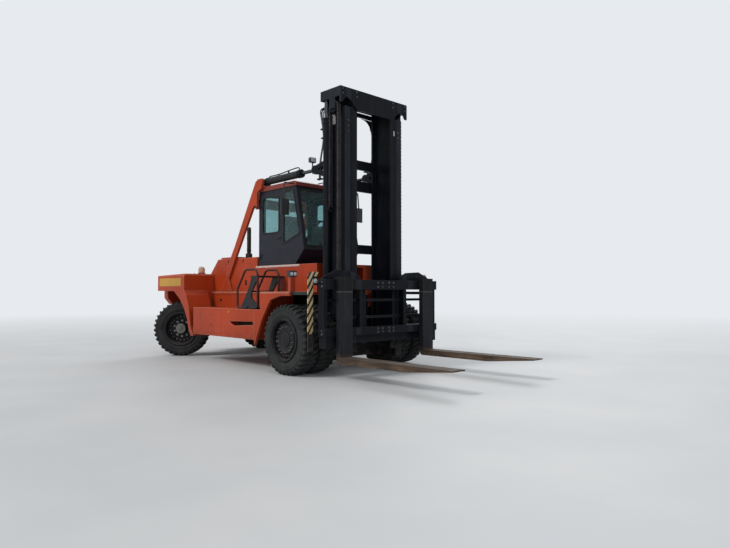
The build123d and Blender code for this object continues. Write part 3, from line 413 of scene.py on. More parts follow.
def make_world():
    world = bpy.data.worlds.new("studio")
    scene.world = world
    world.use_nodes = True
    tree = world.node_tree
    ambient = tree.nodes["Background"]
    ambient.inputs["Color"].default_value = (0.92, 0.96, 1.0, 1)
    ambient.inputs["Strength"].default_value = 0.62
    seen = node(tree, "Background", {"Color": BACKDROP, "Strength": 1.0})
    rays = node(tree, "LightPath").outputs
    inputs = {0: rays["Is Camera Ray"], 1: rays["Is Transmission Ray"]}
    shown = node(tree, "Math", inputs, operation="MAXIMUM")
    both = node(tree, "MixShader", {0: shown.outputs[0], 1: ambient.outputs[0], 2: seen.outputs[0]})
    tree.links.new(both.outputs[0], tree.nodes["World Output"].inputs["Surface"])


def make_floor():
    bm = bmesh.new()
    bmesh.ops.create_circle(bm, cap_ends=True, segments=96, radius=160)
    mesh = bpy.data.meshes.new("floor")
    bm.to_mesh(mesh)
    bm.free()
    look = Look("floor_concrete", 0.6, {"Specular IOR Level": 0.25})
    tone = look.blend(look.patches(0.5, 6.0, 0.35, 0.65), (0.47, 0.48, 0.49), (0.51, 0.51, 0.51))
    far = look.node("Emission", {"Color": BACKDROP, "Strength": 1.0}).outputs[0]
    distance = look.node("VectorMath", {0: look.coords}, operation="LENGTH").outputs["Value"]
    fade = look.node("MixShader", {0: look.spread(distance, 9.0, 34.0), 1: look.shader.outputs[0], 2: far})
    look.tree.links.new(fade.outputs[0], look.tree.nodes["Material Output"].inputs["Surface"])
    mesh.materials.append(look.done(tone))
    floor = placed("floor", mesh)


scene.view_settings.view_transform = "Standard"
make_camera()
make_world()
make_floor()
sun("key", (-2.0, -9.0, 9.0), 1.75, 16.0, (1.0, 0.985, 0.96))
sun("fill", (9.0, -2.0, 5.0), 0.45, 30.0, (0.95, 0.97, 1.0))
sun("far_side", (-5.0, 9.0, 7.0), 0.9, 25.0, (0.96, 0.98, 1.0))

# Mesh helpers


def piece(name, bm, material, body, smooth_below=32.0):
    """Object from a bmesh, shaded smooth except at its sharp edges, riding on a body."""
    bmesh.ops.recalc_face_normals(bm, faces=bm.faces)
    limit = radians(smooth_below)
    for face in bm.faces:
        face.smooth = True
    for line in bm.edges:
        line.smooth = len(line.link_faces) == 2 and line.calc_face_angle(pi) < limit
    mesh = bpy.data.meshes.new(name)
    bm.to_mesh(mesh)
    bm.free()
    mesh.materials.append(materials[material])
    made = placed(name, mesh)
    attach(made, body)
    return made


def turned(degrees, axis, place=(0.0, 0.0, 0.0)):
    """Matrix that turns about an axis and then moves to a place."""
    return Matrix.Translation(place) @ Matrix.Rotation(radians(degrees), 4, axis)


def add_box(bm, low, high, bevel=0.0, turn=None, around=None):
    """Box between two corners, its edges bevelled, turned about its middle and then moved by a matrix."""
    low, high = Vector(low), Vector(high)
    matrix = Matrix.Translation((low + high) / 2)
    if turn is not None:
        matrix = matrix @ turn
    if around is not None:
        matrix = around @ matrix
    sizes = Matrix.Diagonal((*map(abs, high - low), 1))
    made = bmesh.ops.create_cube(bm, size=1, matrix=matrix @ sizes)["verts"]
    if bevel:
        lines = list({line for vertex in made for line in vertex.link_edges})
        bmesh.ops.bevel(bm, geom=lines, offset=bevel, segments=2, affect="EDGES", profile=0.5)


def add_block(bm, middle, half, bevel=0.0, turn=None):
    """Box about a middle given from the axle, with half its size each way."""
    add_box(bm, at(*middle) - Vector(half), at(*middle) + Vector(half), bevel, turn)


def along(start_point, direction):
    """Matrix that puts local Z along a direction from a point."""
    return Matrix.Translation(start_point) @ Vector(direction).to_track_quat("Z", "Y").to_matrix().to_4x4()


def add_rod(bm, first, last, radius, sides=20):
    run = last - first
    bmesh.ops.create_cone(bm, cap_ends=True, segments=sides, radius1=radius, radius2=radius, depth=run.length,
                          matrix=along(first + run / 2, run))


def add_stud(bm, x, side, near, far, z, radius, sides):
    """Rod standing out of the truck's side between two distances from its middle."""
    add_rod(bm, at(x, side * near, z), at(x, side * far, z), radius, sides)


def add_bolt(bm, place, normal, radius, height=None):
    """Hexagon head on a washer, with the stud's end proud of it."""
    normal = Vector(normal).normalized()
    height = height or radius * 0.9
    add_rod(bm, place - normal * 0.002, place + normal * height * 0.18, radius * 1.35, 16)
    add_rod(bm, place, place + normal * height, radius, 6)
    add_rod(bm, place, place + normal * height * 1.35, radius * 0.55, 12)


def bridge(bm, this, after):
    """Faces between two closed loops of vertices."""
    for i in range(len(this)):
        j = (i + 1) % len(this)
        bm.faces.new((this[i], this[j], after[j], after[i]))


def add_prism(bm, back, front):
    """Closed solid between two outlines of points."""
    loops = [[bm.verts.new(point) for point in outline] for outline in (back, front)]
    for loop in loops:
        bm.faces.new(loop)
    bridge(bm, *loops)


def polar(radius, angle, height):
    return Vector((radius * cos(angle), radius * sin(angle), height))


def add_turned(bm, matrix, profile, segments):
    """Closed (radius, height) profile revolved about the matrix's Z axis."""
    rings = []
    for step in range(segments):
        rings.append([bm.verts.new(matrix @ polar(r, tau * step / segments, h)) for r, h in profile])
    for this, after in zip(rings, rings[1:] + rings[:1]):
        bridge(bm, this, after)


def corner_ways(corners):
    """Each corner of an outline, with the directions to the corners before and after it."""
    for i, corner in enumerate(corners):
        here = Vector(corner)
        yield (here, (Vector(corners[i - 1]) - here).normalized(),
               (Vector(corners[(i + 1) % len(corners)]) - here).normalized())


def rounded(corners, radius, steps=5):
    """Outline of (u, v) points with every corner rounded."""
    points = []
    for here, before, after in corner_ways(corners):
        first, last = here + before * radius, here + after * radius
        for step in range(steps + 1):
            t = step / steps
            points.append(first * (1 - t) ** 2 + here * 2 * t * (1 - t) + last * t ** 2)
    return points


def shrunk(corners, inset):
    """Outline moved inwards by an inset, for a convex outline given either way round."""
    middle = sum((Vector(c) for c in corners), Vector((0, 0))) / len(corners)
    moved = []
    for here, before, after in corner_ways(corners):
        bisector = (before + after).normalized()
        if bisector.dot(middle - here) < 0:
            bisector = -bisector
        moved.append(here + bisector * inset / sin(before.angle(after) / 2))
    return moved


def add_gasket(bm, corners, width, place, thickness, radius):
    """Rubber frame inside an opening's outline; place(u, v, depth) gives the point in space."""
    loops = []
    for inset, depth in ((-0.012, 0.0), (-0.012, thickness), (width * 0.5, thickness * 1.4),
                         (width, thickness), (width, 0.0)):
        loops.append([bm.verts.new(place(*p, depth)) for p in rounded(shrunk(corners, inset), radius)])
    for inner, outer in zip(loops, loops[1:] + loops[:1]):
        bridge(bm, inner, outer)


def add_plate(bm, corners, place, thickness, radius):
    """Thin plate with rounded corners."""
    outline = rounded(corners, radius, 3)
    add_prism(bm, *([place(*p, depth) for p in outline] for depth in (0.0, thickness)))


def side_place(y, side):
    """Places (x from the axle, z) on a plane along the truck's side, depth outboard."""
    return lambda u, v, depth: at(u, side * (y + depth), v)


def front_place(x, way=1):
    """Places (y, z) on a plane across the truck, depth forward or back."""
    return lambda u, v, depth: at(x + way * depth, u, v)


def rectangle(u_low, u_high, v_low, v_high):
    return [(u_low, v_low), (u_high, v_low), (u_high, v_high), (u_low, v_high)]


def tubes(name, routes, radius, material, body):
    """Round tubes along smooth routes, as one mesh."""
    data = bpy.data.curves.new(name, "CURVE")
    data.dimensions = "3D"
    data.bevel_depth = radius
    data.bevel_resolution = 4
    data.use_fill_caps = True
    data.resolution_u = 8
    for route in routes:
        spline = data.splines.new("NURBS")
        spline.points.add(len(route) - 1)
        for point, place in zip(spline.points, route):
            point.co = (*place, 1.0)
        spline.order_u = 3
        spline.use_endpoint_u = True
    holder = placed(name + "_curve", data)
    mesh = bpy.data.meshes.new_from_object(holder)
    bpy.data.objects.remove(holder)
    bm = bmesh.new()
    bm.from_mesh(mesh)
    bpy.data.meshes.remove(mesh)
    piece(name, bm, material, body, 50.0)


def wheel_matrix(x, y, side, shift=0.0, steered=0.0):
    """Matrix in a wheel's middle with its Z axis pointing outboard."""
    outboard = Vector((-sin(steered) * side, cos(steered) * side, 0))
    return along(at(x, y, axle_z) + outboard * shift, outboard)


# Tyres

carcass_profile = [
    # radius, way outboard, from the bead over the sidewall to the middle of the tread
    (0.3762, 0.140), (0.396, 0.154), (0.412, 0.158), (0.418, 0.168), (0.426, 0.168), (0.431, 0.174),
    (0.470, 0.1855), (0.474, 0.1885), (0.482, 0.1885), (0.487, 0.187), (0.520, 0.1890), (0.552, 0.1870),
    (0.556, 0.1890), (0.562, 0.1885), (0.567, 0.1845), (0.598, 0.1760), (0.616, 0.1640), (0.6265, 0.1430),
    (0.6285, 0.090), (0.6285, 0.0),
]
lug_path = (
    # way outboard, height of the lug's foot and top, turn along the tread in lug pitches
    (0.1860, 0.578, 0.590, 0.00), (0.1835, 0.592, 0.618, 0.00), (0.1740, 0.605, 0.6440, 0.02),
    (0.1560, 0.618, 0.6560, 0.06), (0.1200, 0.626, 0.6590, 0.16), (0.0600, 0.627, 0.6596, 0.36),
    (-0.0120, 0.627, 0.6598, 0.56),
)
lug_count = 34
lug_half_width = 0.0245
shoulder_ribs = 96


def add_lug(bm, matrix, angle, side):
    sections = []
    for way, foot, top, turn in lug_path:
        middle = angle + side * turn * tau / lug_count * 0.9
        narrow = 0.86 if way < 0.0 else 1.0
        points = []
        for offset, height in ((-1.12, foot), (-1.0, top - 0.006), (-0.86, top), (0.86, top),
                               (1.0, top - 0.006), (1.12, foot)):
            swing = middle + offset * lug_half_width * narrow / top
            points.append(bm.verts.new(matrix @ polar(height, swing, side * way)))
        sections.append(points)
    for this, after in zip(sections, sections[1:]):
        for i in range(len(this) - 1):
            bm.faces.new((this[i], this[i + 1], after[i + 1], after[i]))
    bm.faces.new(sections[0])
    bm.faces.new(sections[-1])


def add_tyre(bm, matrix):
    inner = [(r, -w) for r, w in reversed(carcass_profile[:-1])]
    add_turned(bm, matrix, carcass_profile + inner, 144)
    for side in BOTH:
        for step in range(lug_count):
            add_lug(bm, matrix, tau * (step + 0.25 * side) / lug_count, side)
        for step in range(shoulder_ribs):
            add_box(bm, (0.570, -0.0022, side * 0.178), (0.590, 0.0022, side * 0.1815),
                    around=matrix @ Matrix.Rotation(tau * step / shoulder_ribs, 4, "Z"))


twin_pitch = 0.450
twin_y = 1.248
steer_turn = radians(45.0)
kingpin_x = -4.810
kingpin_y = 1.145
steer_offset = 0.180

for side_name, side in SIDES:
    bm = bmesh.new()
    for shift in (-twin_pitch / 2, twin_pitch / 2):
        add_tyre(bm, wheel_matrix(0, side * twin_y, side, shift))
    made = piece(f"twin_tyres_{side_name}", bm, "tyre_front", f"drive_wheels_{side_name}")
    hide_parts(f"drive_tyres_{side_name}")

    bm = bmesh.new()
    add_tyre(bm, wheel_matrix(kingpin_x, side * kingpin_y, side, steer_offset, steer_turn))
    made = piece(f"rear_tyre_{side_name}", bm, "tyre_rear", f"steer_wheel_{side_name}")
    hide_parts(f"steer_tyre_{side_name}")

# Wheel nuts, lock rings and hub caps


def add_nuts(bm, matrix, *rings):
    """Circles of nuts on a wheel's face: count, radius of the circle, height, size and length of a nut."""
    axis = matrix.to_3x3() @ Vector((0, 0, 1))
    for count, radius, height, size, tall in rings:
        for step in range(count):
            angle = tau * (step + 0.5) / count
            add_bolt(bm, matrix @ polar(radius, angle, height), axis, size, tall)


def lock_ring(name, matrix, edge, body):
    bm = bmesh.new()
    add_turned(bm, matrix, ((0.381, edge - 0.010), (0.398, edge - 0.006), (0.401, edge + 0.004),
                            (0.394, edge + 0.011), (0.381, edge + 0.008)), 96)
    piece(name, bm, "rim", body)


for side_name, side in SIDES:
    body = f"drive_wheels_{side_name}"
    hub = wheel_matrix(0, side * twin_y, side)
    bm = bmesh.new()
    add_nuts(bm, hub, (20, 0.268, 0.1575, 0.017, 0.030), (22, 0.306, 0.3300, 0.0125, 0.018),
             (16, 0.238, 0.3600, 0.0150, 0.026))
    piece(f"drive_nuts_{side_name}", bm, "nut", body)
    bm = bmesh.new()
    add_turned(bm, hub, ((0.1895, 0.270), (0.322, 0.312), (0.328, 0.318), (0.326, 0.327), (0.320, 0.3302),
                         (0.276, 0.3302), (0.266, 0.3380), (0.264, 0.3560), (0.258, 0.3602), (0.212, 0.3602),
                         (0.204, 0.3530), (0.160, 0.3530), (0.150, 0.3500), (0.1895, 0.3500)), 72)
    add_turned(bm, hub, ((0.001, 0.352), (0.126, 0.352), (0.132, 0.357), (0.126, 0.3680), (0.060, 0.3740),
                         (0.001, 0.3750)), 56)
    add_turned(bm, hub, ((0.191, 0.168), (0.214, 0.168), (0.210, 0.182), (0.191, 0.186)), 64)
    for step in range(12):
        add_box(bm, (0.188, -0.004, 0.190), (0.206, 0.004, 0.268), 0.002,
                around=hub @ Matrix.Rotation(tau * step / 12, 4, "Z"))
    piece(f"hub_rings_{side_name}", bm, "rim", body)
    lock_ring(f"lock_ring_{side_name}", hub, 0.409, body)

    body = f"steer_wheel_{side_name}"
    hub = wheel_matrix(kingpin_x, side * kingpin_y, side, steer_offset, steer_turn)
    bm = bmesh.new()
    add_nuts(bm, hub, (10, 0.190, 0.0135, 0.019, 0.045), (20, 0.292, 0.0135, 0.009, 0.012),
             (8, 0.092, 0.1520, 0.006, None))
    piece(f"steer_nuts_{side_name}", bm, "steel", body)
    bm = bmesh.new()
    add_turned(bm, hub, ((0.001, 0.1215), (0.117, 0.1215), (0.122, 0.128), (0.122, 0.140), (0.114, 0.1505),
                         (0.062, 0.1520), (0.054, 0.1600), (0.001, 0.1620)), 56)
    piece(f"steer_cap_{side_name}", bm, "hub", body)
    lock_ring(f"steer_lock_ring_{side_name}", hub, 0.182, body)

# Leaf chains over the crosshead sheaves

sheave_x = 0.515
sheave_z = 5.085
chain_radius = 0.1178
chain_pitch = 0.0381
chain_y = 0.841
chain_rows = 7
row_pitch = 0.0071
front_leg_low = 1.640
rear_leg_low = 3.100


def chain_route():
    """Points one pitch apart along a chain: up the front leg, over the sheave and down the rear."""
    front_leg = sheave_z - front_leg_low
    over = pi * chain_radius
    total = front_leg + over + sheave_z - rear_leg_low
    for step in range(int(total / chain_pitch) + 1):
        s = step * chain_pitch
        angle = (s - front_leg) / chain_radius
        if s < front_leg:
            yield sheave_x + chain_radius, front_leg_low + s
        elif s < front_leg + over:
            yield sheave_x + chain_radius * cos(angle), sheave_z + chain_radius * sin(angle)
        else:
            yield sheave_x - chain_radius, sheave_z - (s - front_leg - over)


def add_link(bm, first, last, y):
    """Chain plate between two pins: rounded at both ends."""
    half_wide, half_tall = 0.0027, 0.0105
    way = Vector((last[0] - first[0], last[1] - first[1])).normalized()
    across = Vector((-way[1], way[0]))
    outline = []
    for end, direction in ((Vector(last), 1), (Vector(first), -1)):
        for turn in (-60, -20, 20, 60):
            a = radians(turn) * direction
            outline.append(end + way * cos(a) * direction * half_tall + across * sin(a) * half_tall)
    add_prism(bm, *([at(p[0], y + shift, p[1]) for p in outline] for shift in (-half_wide, half_wide)))


bm = bmesh.new()
route = list(chain_route())
for side in BOTH:
    for index, (first, last) in enumerate(zip(route, route[1:])):
        for row in range(index % 2, chain_rows * 2 - 1, 2):
            add_link(bm, first, last, side * chain_y + (row - chain_rows + 1) * row_pitch)
        ends = (at(first[0], side * chain_y + shift, first[1]) for shift in (-0.0475, 0.0475))
        add_rod(bm, *ends, 0.0062, 8)
chains = piece("leaf_chains", bm, "chain", "inner_mast", 20.0)
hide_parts("lift_chains")

# Seat: crowned cushion and backrest with sewn channels, on a bellows base

cab_floor = 2.1203
floor_top_z = cab_floor + 0.0504


def add_cushion(bm, matrix, length, width, height, channels):
    """Pad with crowned faces, pulled-in sides and sewn channels across it."""
    columns, rows, layers = 24, 20, 5
    shell = {}
    for i in range(columns + 1):
        for j in range(rows + 1):
            for k in range(layers + 1):
                if 0 < i < columns and 0 < j < rows and 0 < k < layers:
                    continue
                u, v, w = i / columns * 2 - 1, j / rows * 2 - 1, k / layers * 2 - 1
                crown = 1 - 0.42 * max(abs(u), abs(v)) ** 6
                bulge = 1 + 0.05 * (1 - w * w)
                corner = 1 - 0.045 * (u * u * v * v)
                groove = 0.0
                if w > 0.9:
                    for channel in channels:
                        groove = max(groove, 0.011 * max(0.0, 1 - abs(v - channel) / 0.05))
                    groove = max(groove, 0.010 * max(0.0, 1 - abs(abs(u) - 0.74) / 0.05))
                point = Vector((v * width / 2 * bulge * corner, u * length / 2 * bulge * corner,
                                w * height / 2 * crown - groove))
                shell[i, j, k] = bm.verts.new(matrix @ point)

    def face(*places):
        bm.faces.new([shell[place] for place in places])

    for k in (0, layers):
        for i in range(columns):
            for j in range(rows):
                face((i, j, k), (i + 1, j, k), (i + 1, j + 1, k), (i, j + 1, k))
    for k in range(layers):
        for i in range(columns):
            for j in (0, rows):
                face((i, j, k), (i + 1, j, k), (i + 1, j, k + 1), (i, j, k + 1))
        for j in range(rows):
            for i in (0, columns):
                face((i, j, k), (i, j + 1, k), (i, j + 1, k + 1), (i, j, k + 1))


bm = bmesh.new()
add_cushion(bm, turned(-3, "Y", at(-1.600, 0, cab_floor + 0.462)), 0.50, 0.49, 0.105, (-0.5, 0.0, 0.45))
add_cushion(bm, turned(83, "Y", at(-1.930, 0, cab_floor + 0.835)), 0.46, 0.62, 0.10, (-0.4, 0.1, 0.55))
cushions = piece("seat_cushions", bm, "fabric", "chassis", 70.0)

bm = bmesh.new()
add_box(bm, at(-1.845, -0.235, cab_floor + 0.375), at(-1.375, 0.235, cab_floor + 0.408), 0.012)
for step in range(6):
    low = cab_floor + 0.075 + step * 0.050
    bulge = 0.012 if step % 2 else 0.0
    add_block(bm, (-1.610, 0.0, low + 0.025), (0.155 + bulge, 0.165 + bulge, 0.025), 0.014)
add_box(bm, at(-1.780, -0.175, floor_top_z), at(-1.440, 0.175, cab_floor + 0.075), 0.004)
for side in BOTH:
    add_block(bm, (-1.730, side * 0.262, cab_floor + 0.665), (0.170, 0.022, 0.025), 0.016)
    add_block(bm, (-1.905, side * 0.262, cab_floor + 0.585), (0.020, 0.014, 0.085), 0.006)
base = piece("seat_base", bm, "plastic", "chassis")
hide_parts("driver_seat")

# Finishes of the solids

finishes = {
    "frame": ("chassis_frame", "drive_axle", "steer_axle"), "iron": ("engine_block",),
    "body": ("counterweight", "engine_house", "engine_lid", "side_tanks", "tilt_towers"),
    "exhaust": ("exhaust_stack",), "deck": ("fenders_and_deck",), "steps": ("steps_and_rails",),
    "cab": ("cab_shell",), "trim_orange": ("cab_roof",), "glass": ("cab_windows",),
    "plastic": ("dash_console", "steering_wheel", "mirrors"), "guard": ("front_guards",),
    "headlamp": ("headlamps",), "mast": ("outer_mast", "inner_mast", "carriage", "lift_barrels"),
    "chrome": ("lift_rods",),
}
side_finishes = {
    "frame": ("knuckle",), "rim": ("drive_rims", "steer_rim"), "cab": ("door",), "glass": ("door_window",),
    "fork": ("fork",), "cylinder": ("tilt_barrel",), "chrome": ("tilt_rod",),
}


def finish(name, key):
    mesh = nodes[name].data
    if not mesh.materials:
        mesh.materials.append(materials[key])
    for holder in nodes[name].material_slots:
        holder.material = materials[key]


for key, names in finishes.items():
    for name in names:
        finish(name, key)
for key, names in side_finishes.items():
    for name in names:
        for side_name, side in SIDES:
            finish(f"{name}_{side_name}", key)

# Pieces that repeat on both sides of the truck

OUT = (0, 1)
FORWARD = (1, 0)
BACK = (-1, 0)


def blocks(name, material, slot, *rows):
    """Chassis piece of blocks: x, distance from the middle, z, half the size each way, bevel."""
    bm = bmesh.new()
    for side in BOTH:
        for x, y, z, half, bevel in rows:
            add_block(bm, (x, side * y, z), half, bevel)
    piece(name, bm, material, "chassis")


def bolts(name, material, body, slot, *groups):
    """Piece of bolts: radius, the way they point, and the x, distances from the middle and z to combine."""
    bm = bmesh.new()
    for side in BOTH:
        for radius, way, x_list, y_list, z_list in groups:
            for place in ((x, y, z) for x in x_list for y in y_list for z in z_list):
                add_bolt(bm, at(place[0], side * place[1], place[2]), (way[0], side * way[1], 0), radius)
    piece(name, bm, material, body)


def plates(name, material, body, corners, y, thickness, radius):
    """Piece of one plate on each side, its corners as x from the axle and z."""
    bm = bmesh.new()
    for side in BOTH:
        add_plate(bm, corners, side_place(y, side), thickness, radius)
    piece(name, bm, material, body)


# Cab: window rubber, wipers, handles

cab_half = 0.770
knee_x, knee_z = -0.520, 2.430
roof_front_x, roof_front_z = -0.790, 3.760
wiper_pivot_z = 2.520


def windscreen_x(z):
    """The cab's front face at a height, from the axle."""
    return knee_x + (roof_front_x - knee_x) * (z - knee_z) / (roof_front_z - knee_z)


def on_screen(y, rise, depth):
    """Point in front of the windscreen, above the wipers' pivots."""
    z = wiper_pivot_z + rise
    return at(windscreen_x(z) + depth, y, z)


door_glass = rectangle(-1.994, -1.376, 2.820, 3.620)
quarter_glass = [(-1.230, 2.560), (-1.230, 3.700), (-0.880, 3.700), (-0.640, 2.760)]
front_glass = rectangle(-0.710, 0.710, 2.490, 3.700)
rear_glass = rectangle(-0.620, 0.620, 2.820, 3.700)

bm = bmesh.new()
for side in BOTH:
    add_gasket(bm, quarter_glass, 0.024, side_place(cab_half, side), 0.007, 0.05)
add_gasket(bm, front_glass, 0.026, lambda u, v, depth: at(windscreen_x(v) + depth, u, v), 0.008, 0.08)
add_gasket(bm, rear_glass, 0.026, front_place(-2.130, -1), 0.007, 0.08)
piece("window_rubber", bm, "seal", "chassis")
for side_name, side in SIDES:
    bm = bmesh.new()
    add_gasket(bm, door_glass, 0.024, side_place(cab_half, side), 0.007, 0.07)
    piece(f"door_rubber_{side_name}", bm, "seal", f"door_{side_name}")
    bm = bmesh.new()
    add_block(bm, (-1.3425, side * cab_half + 0.003, 2.700), (0.0175, 0.007, 0.060), 0.003)
    add_stud(bm, -1.342, side, cab_half + 0.010, cab_half + 0.024, 2.70, 0.012, 16)
    add_block(bm, (-1.405, side * (cab_half + 0.018), 2.701), (0.075, 0.006, 0.011), 0.004)
    piece(f"door_latch_{side_name}", bm, "plastic", f"door_{side_name}")

bm = bmesh.new()
for y in (-0.38, 0.30):
    foot = on_screen(y, 0.0, 0.030)
    add_rod(bm, foot, on_screen(y + 0.34, 0.62, 0.030), 0.007, 10)
    add_rod(bm, foot - Vector((0.03, 0, 0)), foot + Vector((0.012, 0, 0)), 0.020, 16)
    add_rod(bm, on_screen(y + 0.35, 0.28, 0.016), on_screen(y + 0.35, 0.96, 0.016), 0.010, 6)
piece("wipers", bm, "plastic", "chassis")

# Cab interior: gauges, levers, pedals and mat
bm = bmesh.new()
gauge = ((0.001, 0.0), (0.038, 0.0), (0.042, 0.004), (0.038, 0.010), (0.033, 0.006), (0.001, 0.005))
for y in (-0.14, -0.03, 0.19, 0.27):
    add_turned(bm, turned(-90, "Y", at(-1.003, y, 2.800)), gauge, 28)
piece("gauges", bm, "dial", "chassis")
bm = bmesh.new()
for y in (-0.36, -0.42, -0.48, -0.54):
    add_rod(bm, at(-1.48, y, 2.66), at(-1.44, y, 2.86), 0.007, 10)
    knob = Matrix.Translation(at(-1.44, y, 2.87))
    bmesh.ops.create_icosphere(bm, subdivisions=2, radius=0.020, matrix=knob)
add_box(bm, at(-1.66, -0.60, floor_top_z), at(-1.34, -0.30, 2.665), 0.02)
for y in (-0.10, 0.06, 0.20):
    add_block(bm, (-1.11, y, 2.305), (0.02, 0.035, 0.07), 0.006, turned(-25, "Y"))
add_rod(bm, at(-1.10, -0.10, 2.26), at(-1.02, -0.10, 2.20), 0.010, 8)
piece("levers_and_pedals", bm, "plastic", "chassis")
bm = bmesh.new()
add_box(bm, at(-2.05, -0.69, cab_floor + 0.0502), at(-0.93, 0.69, cab_floor + 0.0560), 0.002)
for step in range(26):
    for y in (-0.45, 0.43):
        add_block(bm, (-2.022 + step * 0.042, y, cab_floor + 0.057), (0.008, 0.23, 0.0015))
piece("floor_mat", bm, "seal", "chassis")

# Orange body: slots, latches, grips, seams, bolts, blank plates, lamps, grilles

body_half = 1.600
wall_y = 0.860
house_half = 0.7997
seam = 0.0022

# Dark plates standing in for slots: painted shade inside the openings.
blocks("side_slots", "slot", "frame_paint", (-2.60, house_half, 1.765, (0.034, 0.004, 0.062), 0.002),
       (-3.58, wall_y, 1.36, (0.045, 0.004, 0.030), 0.002))

bm = bmesh.new()
for side in BOTH:
    for x in (-2.72, -3.35):
        add_block(bm, (x, side * house_half + 0.002, 2.27), (0.016, 0.006, 0.03), 0.004)
        add_stud(bm, x, side, house_half + 0.004, house_half + 0.016, 2.25, 0.010, 14)
    for z in (0.820, 1.030):
        add_stud(bm, -2.75, side, body_half - 0.038, body_half - 0.012, z, 0.010, 14)
        add_block(bm, (-2.75, side * (body_half - 0.030), z), (0.012, 0.004, 0.026), 0.003)
piece("body_latches", bm, "slot", "chassis")

bm = bmesh.new()
for side in BOTH:
    add_plate(bm, [(-1.965, 0.927), (-1.112, 0.950), (-1.112, 0.900), (-1.850, 0.862)],
              side_place(body_half - 0.149, side), 0.003, 0.01)
    ramp = [(x, side * (body_half - inboard))
            for x, inboard in ((-1.850, 0.140), (-1.112, 0.140), (-1.112, 0.012), (-1.850, 0.012))]
    add_plate(bm, ramp, lambda u, v, depth: at(u, v, 0.8505 + (u + 1.86) * 0.0526 + depth), 0.003, 0.01)
piece("recess_grips", bm, "grip", "chassis")

bm = bmesh.new()
for side in BOTH:
    for rear, front, low, high, y in ((-3.22, -2.30, 0.66, 1.17, body_half),
                                      (-3.50, -2.38, 1.64, 2.20, house_half)):
        near, far = side * (y - 0.004), side * (y + 0.0008)
        for x in (rear, front):
            add_box(bm, at(x - seam, near, low), at(x + seam, far, high))
        for z in (low, high):
            add_box(bm, at(rear, near, z - seam), at(front, far, z + seam))
piece("panel_seams", bm, "seam", "chassis")

bolts("body_bolts", "trim_orange", "chassis", "frame_paint",
      (0.008, OUT, (-3.45, -2.15, -1.15), (body_half,), (0.640, 1.180)),
      (0.008, OUT, [-3.85 + step * 0.35 for step in range(9)], (0.870,), (1.530,)),
      (0.013, OUT, (-3.50, -3.38, -3.26, -3.18), (0.860,), (1.600,)))

bm = bmesh.new()
for side in BOTH:
    for low, high, radius in ((-0.002, 0.006, 0.026), (0.005, 0.009, 0.019)):
        add_stud(bm, -2.01, side, body_half + low, body_half + high, 1.130, radius, 24)
piece("reflectors", bm, "yellow", "chassis")

plates("side_plates", "yellow", "chassis", rectangle(-5.26, -4.15, 1.690, 1.885), body_half,
       0.003, 0.02)
blocks("tail_lamps", "red_lens", "lamp_lens", (-5.613, 0.98, 1.695, (0.013, 0.10, 0.035), 0.006))
blocks("tail_indicators", "amber_lens", "lamp_lens", (-5.612, 0.98, 1.7625, (0.012, 0.10, 0.0275), 0.006))

bm = bmesh.new()
for step in range(13):
    add_block(bm, (-5.614, 0.0, 1.6435 + step * 0.0185), (0.008, 0.62, 0.0035), 0.0, turned(25, "Y"))
for y in (-0.63, 0.0, 0.63):
    add_block(bm, (-5.614, y, 1.758), (0.010, 0.012, 0.128), 0.002)
piece("radiator_grille", bm, "frame", "chassis")

# Louvres in the engine house's rear half
bm = bmesh.new()
for side in BOTH:
    for step in range(9):
        add_block(bm, (-3.40, side * (house_half + 0.001), 1.725 + step * 0.036), (0.06, 0.006, 0.005), 0.003,
                  turned(side * 30, "X"))
piece("house_louvres", bm, "body", "chassis")

# Beacon on the counterweight, and lifting eyes
bm = bmesh.new()
beacon = Matrix.Translation(at(-4.15, -1.06, 1.981))
add_turned(bm, beacon, ((0.001, 0.0), (0.095, 0.0), (0.095, 0.022), (0.070, 0.036), (0.001, 0.036)), 32)
for side in BOTH:
    add_turned(bm, turned(90, "X", at(-4.9, side * 0.85, 1.955)),
               [(0.055 + 0.016 * cos(tau * k / 10), 0.016 * sin(tau * k / 10)) for k in range(10)], 32)
piece("beacon_base_and_eyes", bm, "trim_orange", "chassis")
bm = bmesh.new()
add_turned(bm, beacon, ((0.001, 0.036), (0.078, 0.036), (0.080, 0.120), (0.062, 0.165), (0.030, 0.182),
                        (0.001, 0.184)), 32)
piece("beacon_lens", bm, "pale_lens", "chassis")

# Exhaust: clamps on the pipe and fins round the foot
exhaust_x, exhaust_y, exhaust_radius = -2.95, -0.497, 0.048
bm = bmesh.new()
for z in (2.52, 2.80):
    add_turned(bm, Matrix.Translation(at(exhaust_x, exhaust_y, z)),
               ((exhaust_radius - 0.001, 0.0), (exhaust_radius + 0.005, 0.0), (exhaust_radius + 0.005, 0.022),
                (exhaust_radius - 0.001, 0.022)), 40)
for step in range(12):
    add_box(bm, (0.072, -0.006, 0.010), (0.0765, 0.006, 0.095), 0.001,
            around=turned(step * 30, "Z", at(exhaust_x, exhaust_y, 2.345)))
piece("exhaust_clamps", bm, "exhaust", "chassis")

# Deck: foot plates, edge strips pale with a painted highlight, step grips and raised tread
blocks("foot_plates", "frame", "frame_paint", (-1.315, 1.260, 1.2142, (0.285, 0.238, 0.0138), 0.003),
       *((-1.579 + step * 0.047, 1.260, 1.22975, (0.006, 0.218, 0.00225), 0.001) for step in range(12)))
bm = bmesh.new()
